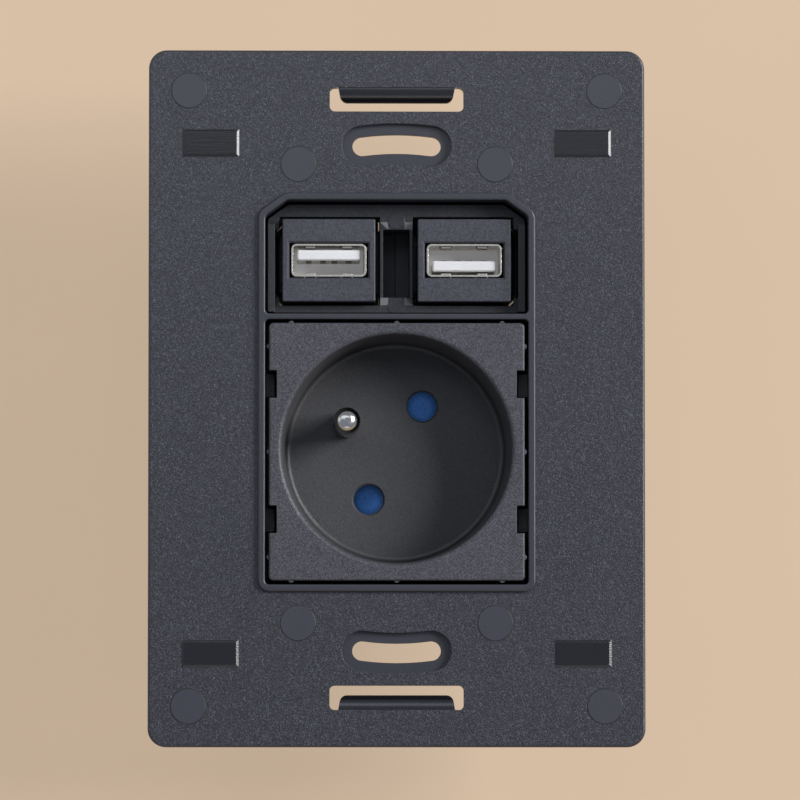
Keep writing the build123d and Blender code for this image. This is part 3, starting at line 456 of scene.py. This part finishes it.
def new_group(name, size_label, outputs):
    """An empty shader group, the socket of its one size, and the sockets of its outputs."""
    group = bpy.data.node_groups.new(name, "ShaderNodeTree")
    group.interface.new_socket(name=size_label, in_out="INPUT", socket_type="NodeSocketFloat")
    for label, kind in outputs.items():
        group.interface.new_socket(name=label, in_out="OUTPUT", socket_type=kind)
    size = group.nodes.new("NodeGroupInput").outputs[size_label]
    return group, size, group.nodes.new("NodeGroupOutput").inputs


def place_group(tree, builder, **inputs):
    """A shared group in a material, built on its first use."""
    name = builder.__name__
    group = bpy.data.node_groups.get(name) or builder(name)
    return add(tree, "ShaderNodeGroup", inputs, node_tree=group).outputs


def moulded_grain(name):
    """Spark-eroded grain of a mould: its height, a slow change of tone, painted glints on its peaks and
    speckle.
    """
    labels = ("Height", "Tone", "Glint", "Speckle")
    group, size, result = new_group(name, "Size", dict.fromkeys(labels, "NodeSocketFloat"))
    place = object_place(group)
    scale = calculate(group, "DIVIDE", 1.0, size)
    bumps = noise(group, place, scale, detail=2.0, roughness=0.6)
    pits = cells(group, place, times(group, scale, PIT_SCALE))
    height = calculate(group, "SUBTRACT", bumps, times(group, pits, PIT_DEPTH))
    tone = noise(group, place, times(group, scale, PATCH_SCALE), detail=4.0, roughness=0.6)
    fine = noise(group, place, scale, detail=1.0, distortion=0.5)
    group.links.new(height, result["Height"])
    group.links.new(tone, result["Tone"])
    group.links.new(remap(group, fine, *PAINTED_GLINT_RANGE), result["Glint"])
    group.links.new(remap(group, bumps, *SPECKLE_RANGE), result["Speckle"])
    return group


def softened_edge(name):
    """The broken edges of a moulding: a normal that rounds them and a mask of where they are."""
    outputs = {"Normal": "NodeSocketVector", "Edge": "NodeSocketFloat"}
    group, radius, result = new_group(name, "Radius", outputs)
    rounded = add(group, "ShaderNodeBevel", {"Radius": radius}, samples=EDGE_SAMPLES).outputs["Normal"]
    flat = add(group, "ShaderNodeNewGeometry").outputs["Normal"]
    likeness = vector_math(group, "DOT_PRODUCT", rounded, flat, "Value")
    group.links.new(rounded, result["Normal"])
    group.links.new(remap(group, likeness, *EDGE_RANGE), result["Edge"])
    return group


def handling_marks(name):
    """Faint smears and dust left by handling, as masks."""
    outputs = {"Smear": "NodeSocketFloat", "Dust": "NodeSocketFloat"}
    group, size, result = new_group(name, "Size", outputs)
    place = object_place(group)
    scale = calculate(group, "DIVIDE", 1.0, size)
    smear = noise(group, place, scale, detail=5.0, roughness=0.7, distortion=1.0)
    motes = cells(group, place, times(group, scale, MOTE_SCALE))
    group.links.new(remap(group, smear, *SMEAR_RANGE), result["Smear"])
    group.links.new(remap(group, motes, *MOTE_RANGE), result["Dust"])
    return group


def drawn_lines(name):
    """Lines left by rolling or drawing metal, along the depth of the socket, and a slow change of tone."""
    outputs = {"Height": "NodeSocketFloat", "Tone": "NodeSocketFloat"}
    group, size, result = new_group(name, "Size", outputs)
    place = object_place(group)
    scale = calculate(group, "DIVIDE", 1.0, size)
    stretched = vector_math(group, "MULTIPLY", place, DRAWN_STRETCH)
    tone = noise(group, place, times(group, scale, DRAWN_PATCH_SCALE), detail=4.0)
    group.links.new(noise(group, stretched, scale, detail=3.0), result["Height"])
    group.links.new(tone, result["Tone"])
    return group


def milled_lines(name):
    """Fine lines across a flat place, along X."""
    group, size, result = new_group(name, "Size", {"Height": "NodeSocketFloat"})
    stretched = vector_math(group, "MULTIPLY", object_place(group), MILLED_STRETCH)
    scale = calculate(group, "DIVIDE", 1.0, size)
    group.links.new(noise(group, stretched, scale, detail=2.0), result["Height"])
    return group


# Materials

def shading(material):
    """A material's node tree and its Principled shader."""
    return material.node_tree, material.node_tree.nodes["Principled BSDF"]


def new_material(name):
    """A new material, its node tree and its Principled shader."""
    material = bpy.data.materials.new(name)
    material.use_nodes = True
    return material, *shading(material)


def base_colour(shader):
    """The socket that feeds a shader's base colour."""
    return shader.inputs["Base Color"].links[0].from_socket


def moulded_plastic(name, base):
    """Moulded plastic with grain, a slow change of tone, painted glints, softened edges made lighter as
    wear and painted highlight, and handling marks.
    """
    finish = MOULDED[name]
    sizes = bpy.context.scene.socket_grain
    grain_size = getattr(sizes, finish["grain"] + "_size")
    grain_depth = getattr(sizes, finish["grain"] + "_depth")
    rough = finish["roughness"]
    material, tree, shader = new_material(name)
    grain = place_group(tree, moulded_grain, Size=grain_size)
    edge = place_group(tree, softened_edge, Radius=sizes.edge_radius)
    marks = place_group(tree, handling_marks, Size=grain_size * MOULDED_MARKS)

    body = toned(tree, grain["Tone"], base, MOULDED_TONE)
    grained = speckled(tree, body, grain["Speckle"], finish["contrast"])
    # Painted highlights: glints on the grain's peaks, lightened in the colour
    lit = cover(tree, grain["Glint"], finish["painted_glint"], grained, shade(base, MOULDED_PAINTED_GLINT))
    # Lighter edges: partly wear, partly painted highlight
    worn_and_lit = cover(tree, edge["Edge"], EDGE_WEAR_AND_HIGHLIGHT, lit, shade(base, finish["edge"]))
    dusty = cover(tree, marks["Dust"], MOULDED_DUST, worn_and_lit, DUST_COLOUR)
    tree.links.new(dusty, shader.inputs["Base Color"])

    gloss = remap(tree, marks["Smear"], 0.0, 1.0, rough, rough * MOULDED_SMEAR)
    tree.links.new(gloss, shader.inputs["Roughness"])
    shader.inputs["Specular IOR Level"].default_value = MOULDED_GLOSS
    tree.links.new(bump(tree, grain["Height"], grain_depth, edge["Normal"]), shader.inputs["Normal"])
    return material


def plate_plastic():
    """The mounting plate: grained front with painted glints, smooth rim, discs and steps painted lighter as
    sheen, painted shade in the discs' grooves, and polished pads and catch lips painted darker as shade.
    """
    colours = bpy.context.scene.socket_colours
    sizes = bpy.context.scene.socket_grain
    base = colours.plate
    material, tree, shader = new_material("plate_plastic")
    depth = object_axis(tree, "Y")
    front = at_level(tree, depth, PLATE_FRONT)
    raised = calculate(tree, "LESS_THAN", depth, PLATE_FRONT - PAD_ABOVE)
    pad = times(tree, raised, mirrored_region(tree, PAD_ACROSS, PAD_ALONG))
    sunk = calculate(tree, "GREATER_THAN", depth, PLATE_FRONT + LIP_BEHIND)
    lip = times(tree, sunk, mirrored_region(tree, LIP_ACROSS, LIP_ALONG))
    disc, groove = disc_masks(tree)
    grain = place_group(tree, moulded_grain, Size=sizes.plate_size)
    satin = place_group(tree, moulded_grain, Size=sizes.satin_size)
    lines = place_group(tree, milled_lines, Size=sizes.pad_line_size)
    edge = place_group(tree, softened_edge, Radius=sizes.edge_radius)
    marks = place_group(tree, handling_marks, Size=sizes.plate_size * PLATE_MARKS)

    body = toned(tree, grain["Tone"], base, PLATE_TONE)
    # Painted highlights: glints on the plate's grain, lightened in the colour
    peaks = cover(tree, grain["Glint"], PLATE_PAINTED_GLINT_SHARE, body, shade(base, PLATE_PAINTED_GLINT))
    textured = speckled(tree, peaks, grain["Speckle"], PLATE_CONTRAST)
    # Painted sheen: smooth places painted lighter than the grained front
    smooth = toned(tree, satin["Tone"], base, PLATE_SMOOTH_SHEEN_TONE)
    surface = blend_colours(tree, front, smooth, textured)
    # Painted shade: pads and catch lips take darker copies of the plate's colour
    padded = blend_colours(tree, pad, surface, toned(tree, lines["Height"], colours.pad, PAD_LINE_TONE))
    lipped = blend_colours(tree, lip, padded, colours.lip)
    # Painted sheen on the smooth discs
    discs = blend_colours(tree, disc, lipped, shade(base, DISC_SHEEN_TONE))
    # Painted shade in the grooves round the discs
    groove_shaded = blend_colours(tree, groove, discs, shade(base, GROOVE_SHADE_TONE))
    dusty = cover(tree, marks["Dust"], PLATE_DUST, groove_shaded, DUST_COLOUR)
    tree.links.new(dusty, shader.inputs["Base Color"])

    rough = remap(tree, front, 0.0, 1.0, PLATE_SMOOTH_ROUGHNESS, PLATE_GRAIN_ROUGHNESS)
    smeared = calculate(tree, "SUBTRACT", rough, times(tree, marks["Smear"], PLATE_SMEAR))
    polish = times(tree, calculate(tree, "MAXIMUM", pad, lip), PAD_POLISH)
    tree.links.new(calculate(tree, "SUBTRACT", smeared, polish), shader.inputs["Roughness"])
    shader.inputs["Specular IOR Level"].default_value = PLATE_GLOSS

    coarse = times(tree, times(tree, grain["Height"], sizes.plate_depth), front)
    fine = times(tree, satin["Height"], sizes.satin_depth)
    milled = times(tree, times(tree, lines["Height"], sizes.pad_line_depth), pad)
    height = calculate(tree, "ADD", calculate(tree, "ADD", coarse, fine), milled)
    tree.links.new(bump(tree, height, depth=1.0, normal=edge["Normal"]), shader.inputs["Normal"])
    return material


def face_plastic():
    """The socket insert: speckled front, and a plainer recess with painted shade along its foot."""
    colours = bpy.context.scene.socket_colours
    material = moulded_plastic("face_plastic", colours.face)
    tree, shader = shading(material)
    depth = object_axis(tree, "Y")
    fine = place_group(tree, moulded_grain, Size=bpy.context.scene.socket_grain.satin_size)
    plain = speckled(tree, colours.recess, fine["Speckle"], RECESS_CONTRAST)
    inside = blend_colours(tree, remap(tree, depth, *RECESS_START), base_colour(shader), plain)
    # Painted shade: the foot of the recess is painted darker
    foot = within(tree, depth, *RECESS_FOOT)
    dull = blend_colours(tree, foot, inside, shade(colours.recess, FOOT_SHADE_TONE))
    tree.links.new(dull, shader.inputs["Base Color"])
    return material


def carrier_plastic():
    """The USB carrier: satin plastic with painted highlights on the facets at the corners of its middle
    window.
    """
    colours = bpy.context.scene.socket_colours
    material = moulded_plastic("carrier_plastic", colours.carrier)
    tree, shader = shading(material)
    # Painted highlight on the facets at the window's corners
    facet = mirrored_region(tree, FACET_ACROSS, FACET_ALONG, WINDOW_MIDDLE)
    highlighted = blend_colours(tree, facet, base_colour(shader), colours.facet)
    tree.links.new(highlighted, shader.inputs["Base Color"])
    return material


def white_insulator():
    """White moulded plastic that lets light in, with a faint painted glow from the back of the front ports
    on.
    """
    tongue = bpy.context.scene.socket_colours.tongue
    material = moulded_plastic("white_insulator", tongue)
    tree, shader = shading(material)
    shader.inputs["Subsurface Weight"].default_value = INSULATOR_SOFTNESS
    shader.inputs["Subsurface Scale"].default_value = INSULATOR_SOFT_DEPTH
    shader.inputs["Subsurface Radius"].default_value = INSULATOR_SOFT_SPREAD
    # Painted glow: the back of the ports glows, standing in for light that reaches it
    rear = remap(tree, object_axis(tree, "Y"), *INSULATOR_REAR)
    tree.links.new(blend_colours(tree, rear, BLACK, tongue), shader.inputs["Emission Color"])
    shader.inputs["Emission Strength"].default_value = INSULATOR_PAINTED_GLOW
    return material


def shutter_plastic():
    """Blue plastic, lighter in the middle of each contact hole and darker towards its rim as painted light
    and shade, with a faint painted glow in the depth of the holes.
    """
    material = moulded_plastic("shutter_plastic", bpy.context.scene.socket_colours.shutter)
    tree, shader = shading(material)
    away = nearest_place(tree, object_axis(tree, "X"), CONTACT_PLACES)
    # Painted light and shade: lighter at each hole's middle, darker towards its rim
    hole_shaded = remap(tree, away, *HOLE_SHADE_REACH, *HOLE_SHADE_TONE)
    blue = blend_colours(tree, 1.0, base_colour(shader), hole_shaded, "MULTIPLY")
    tree.links.new(blue, shader.inputs["Base Color"])
    # Painted glow: the shutter glows in its own colour, standing in for light in the holes
    tree.links.new(blue, shader.inputs["Emission Color"])
    shader.inputs["Emission Strength"].default_value = SHUTTER_PAINTED_GLOW
    return material


def drawn_metal(name, base):
    """Rolled or drawn metal: lines along its length and a slow change of tone."""
    sizes = bpy.context.scene.socket_grain
    material, tree, shader = new_material(name)
    drawn = place_group(tree, drawn_lines, Size=sizes.brush_size)
    edge = place_group(tree, softened_edge, Radius=sizes.edge_radius * DRAWN_EDGE)
    marks = place_group(tree, handling_marks, Size=sizes.brush_size * DRAWN_MARKS)
    body = toned(tree, drawn["Tone"], base, DRAWN_TONE)
    dull = cover(tree, marks["Smear"], DRAWN_SMEAR, body, shade(base, DRAWN_SMEAR_TONE))
    tree.links.new(dull, shader.inputs["Base Color"])
    shader.inputs["Metallic"].default_value = 1.0
    roughness = [DRAWN[name] * factor for factor in DRAWN_ROUGHNESS]
    tree.links.new(remap(tree, drawn["Height"], *DRAWN_RANGE, *roughness), shader.inputs["Roughness"])
    tree.links.new(bump(tree, drawn["Height"], sizes.brush_depth, edge["Normal"]), shader.inputs["Normal"])
    return material


def turned_nickel():
    """Bright plate over a turned pin: rings around its axis that stretch the lights' reflections."""
    material, tree, shader = new_material("turned_nickel")
    low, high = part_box("earth_pin")
    away = vector_math(tree, "SUBTRACT", object_place(tree), (low + high) / 2)
    across = vector_math(tree, "MULTIPLY", away, PIN_ACROSS)
    radius = vector_math(tree, "LENGTH", across, output="Value")
    along = calculate(tree, "ADD", radius, object_axis(tree, "Y"))
    turning = {"W": along, "Scale": RING_SCALE, "Detail": 3.0}
    rings = add(tree, "ShaderNodeTexNoise", turning, noise_dimensions="1D").outputs["Fac"]
    marks = place_group(tree, handling_marks, Size=PIN_MARKS)
    nickel = bpy.context.scene.socket_colours.nickel
    tarnished = cover(tree, marks["Smear"], PIN_TARNISH, nickel, TARNISH_COLOUR)
    tree.links.new(tarnished, shader.inputs["Base Color"])
    shader.inputs["Metallic"].default_value = 1.0
    shader.inputs["Anisotropic"].default_value = RING_STRETCH
    tangent = add(tree, "ShaderNodeTangent", direction_type="RADIAL", axis="Y")
    tree.links.new(tangent.outputs["Tangent"], shader.inputs["Tangent"])
    tree.links.new(remap(tree, rings, *RING_RANGE, *RING_ROUGHNESS), shader.inputs["Roughness"])
    tree.links.new(bump(tree, rings, RING_DEPTH), shader.inputs["Normal"])
    return material


def seen_rays(tree):
    """A mask of the rays that show a background: to the camera, off shiny faces and through glass."""
    path = add(tree, "ShaderNodeLightPath").outputs
    mirrored = calculate(tree, "MAXIMUM", path["Is Glossy Ray"], path["Is Transmission Ray"])
    return calculate(tree, "MAXIMUM", path["Is Camera Ray"], mirrored)


def clear_of_sockets(tree):
    """A mask of the backdrop outside the place close behind the USB sockets, which lies in their shade."""
    beside = remap(tree, distance_along(tree, "X"), *SHADE_ACROSS)
    beyond = remap(tree, distance_along(tree, "Z", WINDOW_MIDDLE), *SHADE_ALONG)
    return calculate(tree, "MAXIMUM", beside, beyond)


def mix_shaders(tree, share, first, second):
    """Two shaders mixed by a share."""
    return add(tree, "ShaderNodeMixShader", {0: share, 1: first, 2: second}).outputs["Shader"]


def backdrop_paint():
    """Plain pale paint, seen from its front only, which keeps the shadow of the socket."""
    stage = bpy.context.scene.socket_stage
    material, tree, shader = new_material("backdrop_paint")
    tone = noise(tree, object_place(tree), SWEEP_PATCH_SCALE, detail=3.0)
    paint = toned(tree, tone, bpy.context.scene.socket_colours.backdrop, SWEEP_TONE)
    tree.links.new(paint, shader.inputs["Base Color"])
    shader.inputs["Roughness"].default_value = SWEEP_ROUGHNESS
    shader.inputs["Specular IOR Level"].default_value = SWEEP_GLOSS
    glow = add(tree, "ShaderNodeEmission", {"Color": paint, "Strength": 1.0}).outputs["Emission"]
    share = times(tree, times(tree, seen_rays(tree), stage.backdrop_glow), clear_of_sockets(tree))
    lit = mix_shaders(tree, share, shader.outputs["BSDF"], glow)
    behind = add(tree, "ShaderNodeNewGeometry").outputs["Backfacing"]
    clear = add(tree, "ShaderNodeBsdfTransparent").outputs["BSDF"]
    one_sided = mix_shaders(tree, behind, lit, clear)
    tree.links.new(one_sided, tree.nodes["Material Output"].inputs["Surface"])
    return material


# The studio

def direction(azimuth, elevation):
    """A unit vector towards the front, turned to the right by the azimuth and raised by the elevation."""
    return Vector((
        math.sin(azimuth) * math.cos(elevation),
        -math.cos(azimuth) * math.cos(elevation),
        math.sin(elevation),
    ))


def place_object(name, data):
    """A new object in the scene."""
    item = bpy.data.objects.new(name, data)
    bpy.context.scene.collection.objects.link(item)
    return item


def face_towards(item, aim):
    """Turns a light or a camera towards a point."""
    item.rotation_mode = "QUATERNION"
    item.rotation_quaternion = (aim - item.location).to_track_quat("-Z", "Y")


def make_sweep(settings):
    """A sheet that runs down behind the socket and forward below it, in one bend."""
    back = OBJECT_HIGH.y + settings.backdrop_gap
    floor = OBJECT_LOW.z - SWEEP_DROP
    profile = [(back, SWEEP_TOP)]
    for step in range(SWEEP_STEPS + 1):
        turn = math.radians(90.0 * step / SWEEP_STEPS)
        depth = back - SWEEP_BEND + SWEEP_BEND * math.cos(turn)
        height = floor + SWEEP_BEND - SWEEP_BEND * math.sin(turn)
        profile.append((depth, height))
    profile.append((SWEEP_FRONT, floor))
    sheet = bmesh.new()
    sides = (SWEEP_HALF_WIDTH, -SWEEP_HALF_WIDTH)
    rows = [[sheet.verts.new((side, depth, height)) for side in sides] for depth, height in profile]
    for upper, lower in zip(rows, rows[1:]):
        sheet.faces.new((upper[0], upper[1], lower[1], lower[0]))
    for face in sheet.faces:
        face.smooth = True
    mesh = bpy.data.meshes.new("studio_sweep")
    sheet.to_mesh(mesh)
    sheet.free()
    mesh.materials.append(backdrop_paint())
    sweep = place_object("studio_sweep", mesh)
    sweep.visible_diffuse = False
    sweep.visible_shadow = False


def make_lights(settings):
    """The soft boxes, each facing the plate's middle."""
    for name, (azimuth, elevation, distance, width, height, tint, setting) in SOFT_BOXES.items():
        light = bpy.data.lights.new(name, "AREA")
        light.color = tint
        light.shape = "RECTANGLE"
        light.size = width
        light.size_y = height
        light.energy = getattr(settings, setting)
        lamp = place_object(name, light)
        lamp.location = direction(math.radians(azimuth), math.radians(elevation)) * distance
        face_towards(lamp, Vector())


def make_world(settings):
    """Dim surroundings, and a pale background where the sweep isn't seen."""
    world = bpy.data.worlds.new("studio")
    world.use_nodes = True
    tree = world.node_tree
    pale = opaque(bpy.context.scene.socket_colours.surroundings)
    dim = add(tree, "ShaderNodeBackground", {"Color": opaque(WHITE), "Strength": settings.ambient})
    bright = add(tree, "ShaderNodeBackground", {"Color": pale, "Strength": 1.0})
    mixed = mix_shaders(tree, seen_rays(tree), dim.outputs[0], bright.outputs[0])
    tree.links.new(mixed, tree.nodes["World Output"].inputs["Surface"])
    bpy.context.scene.world = world


def make_camera(settings):
    """The camera in front of the plate, with a lens that covers the view's width there."""
    data = bpy.data.cameras.new("camera")
    data.lens = data.sensor_width * settings.camera_distance / settings.view_width
    data.clip_end = CAMERA_REACH
    camera = place_object("camera", data)
    away = direction(settings.camera_azimuth, settings.camera_elevation) * settings.camera_distance
    camera.location = Vector((0.0, PLATE_FRONT, 0.0)) + away
    face_towards(camera, Vector((settings.aim_right, PLATE_FRONT, settings.aim_up)))
    bpy.context.scene.camera = camera


# Operators

def dress(material, *names):
    """Gives CAD nodes a material in place of the one that they were packed with."""
    for name in names:
        slots = frame["nodes"][name].data.materials
        slots.clear()
        slots.append(material)


def both_sides(pattern):
    """The names of a USB piece on the left and on the right."""
    return [pattern.format(side=side) for side in SIDES]


def both_ends(pattern):
    """The names of a USB piece at the front and rear of both modules."""
    return [pattern.format(end=end, side=side) for side in SIDES for end in ENDS]


class SOCKET_OT_mounting_plate(bpy.types.Operator):
    """Dress the mounting plate in grained dark plastic with polished pads"""

    bl_idname = "power_socket.mounting_plate"
    bl_label = "Mounting plate"

    def execute(self, context):
        dress(plate_plastic(), "mounting_plate")
        return {"FINISHED"}


class SOCKET_OT_socket_face(bpy.types.Operator):
    """Dress the socket insert in fine-grained dark plastic, plainer in its recess"""

    bl_idname = "power_socket.socket_face"
    bl_label = "Socket face"

    def execute(self, context):
        dress(face_plastic(), "socket_face")
        return {"FINISHED"}


class SOCKET_OT_rear_housing(bpy.types.Operator):
    """Dress the housing behind the panel in near-black plastic"""

    bl_idname = "power_socket.rear_housing"
    bl_label = "Rear housing"

    def execute(self, context):
        dress(moulded_plastic("base_plastic", context.scene.socket_colours.base), "socket_base")
        return {"FINISHED"}


class SOCKET_OT_shutter(bpy.types.Operator):
    """Dress the turning shutter in blue plastic and its spring in zinc plate"""

    bl_idname = "power_socket.shutter"
    bl_label = "Safety shutter"

    def execute(self, context):
        dress(shutter_plastic(), "safety_shutter")
        dress(drawn_metal("spring_steel", context.scene.socket_colours.zinc), "shutter_spring")
        return {"FINISHED"}


class SOCKET_OT_earth_pin(bpy.types.Operator):
    """Dress the earth pin in turned bright nickel"""

    bl_idname = "power_socket.earth_pin"
    bl_label = "Earth pin"

    def execute(self, context):
        dress(turned_nickel(), "earth_pin")
        return {"FINISHED"}


class SOCKET_OT_contacts(bpy.types.Operator):
    """Dress the contacts, straps, wire clamps and screws in brass and zinc plate"""

    bl_idname = "power_socket.contacts"
    bl_label = "Contacts and clamps"

    def execute(self, context):
        colours = context.scene.socket_colours
        brass = drawn_metal("brass_sheet", colours.brass)
        dress(brass, "live_contact", "neutral_contact", "earth_strap", "terminal_cages")
        dress(drawn_metal("zinc_steel", colours.zinc), "terminal_screws", "base_screws")
        return {"FINISHED"}


class SOCKET_OT_usb_carrier(bpy.types.Operator):
    """Dress the sunk USB carrier in dark plastic"""

    bl_idname = "power_socket.usb_carrier"
    bl_label = "USB carrier"

    def execute(self, context):
        dress(carrier_plastic(), "usb_carrier")
        return {"FINISHED"}


class SOCKET_OT_usb_modules(bpy.types.Operator):
    """Dress the snap-in USB modules in satin plastic"""

    bl_idname = "power_socket.usb_modules"
    bl_label = "USB modules"

    def execute(self, context):
        satin = moulded_plastic("module_plastic", context.scene.socket_colours.module)
        dress(satin, *both_sides("usb_housing_{side}"), *both_sides("usb_rear_cap_{side}"))
        return {"FINISHED"}


class SOCKET_OT_usb_sockets(bpy.types.Operator):
    """Dress the shells, tongues, contact springs and boards of the USB sockets"""

    bl_idname = "power_socket.usb_sockets"
    bl_label = "USB sockets"

    def execute(self, context):
        colours = context.scene.socket_colours
        dress(drawn_metal("shell_nickel", colours.shell), *both_ends("usb_{end}_shell_{side}"))
        dress(white_insulator(), *both_ends("usb_{end}_tongue_{side}"))
        dress(drawn_metal("gilt_contact", colours.gilt), *both_ends("usb_{end}_contacts_{side}"))
        dress(moulded_plastic("board_laminate", colours.board), *both_sides("usb_link_board_{side}"))
        return {"FINISHED"}


class SOCKET_OT_stage(bpy.types.Operator):
    """Set the studio: a pale sweep, soft lights and the camera in front of the plate"""

    bl_idname = "power_socket.stage"
    bl_label = "Studio"

    def execute(self, context):
        settings = context.scene.socket_stage
        make_sweep(settings)
        make_lights(settings)
        make_world(settings)
        make_camera(settings)
        context.scene.view_settings.view_transform = "Standard"
        return {"FINISHED"}


OPERATORS = (
    SOCKET_OT_mounting_plate,
    SOCKET_OT_socket_face,
    SOCKET_OT_rear_housing,
    SOCKET_OT_shutter,
    SOCKET_OT_earth_pin,
    SOCKET_OT_contacts,
    SOCKET_OT_usb_carrier,
    SOCKET_OT_usb_modules,
    SOCKET_OT_usb_sockets,
    SOCKET_OT_stage,
)
SETTINGS = {"socket_colours": SocketColours, "socket_grain": SocketGrain, "socket_stage": SocketStage}


class SOCKET_PT_panel(bpy.types.Panel):
    """Lists the finishes of the socket and the studio"""

    bl_idname = "SOCKET_PT_panel"
    bl_label = "Power Socket"
    bl_space_type = "VIEW_3D"
    bl_region_type = "UI"
    bl_category = "Power Socket"

    def draw(self, context):
        for operator in OPERATORS:
            self.layout.operator(operator.bl_idname)
        for group in SETTINGS:
            settings = getattr(context.scene, group)
            box = self.layout.box()
            for name in settings.__annotations__:
                box.prop(settings, name)


CLASSES = (*SETTINGS.values(), *OPERATORS, SOCKET_PT_panel)


def register():
    """Registers the classes and puts the settings on the scene."""
    for item in CLASSES:
        bpy.utils.register_class(item)
    for name, group in SETTINGS.items():
        setattr(bpy.types.Scene, name, PointerProperty(type=group))


def unregister():
    """Takes the settings and the classes away again."""
    for name in SETTINGS:
        delattr(bpy.types.Scene, name)
    for item in reversed(CLASSES):
        bpy.utils.unregister_class(item)


def main():
    """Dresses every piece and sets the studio."""
    register()
    for operator in OPERATORS:
        group, name = operator.bl_idname.split(".")
        getattr(getattr(bpy.ops, group), name)()


if __name__ == "__main__":
    main()
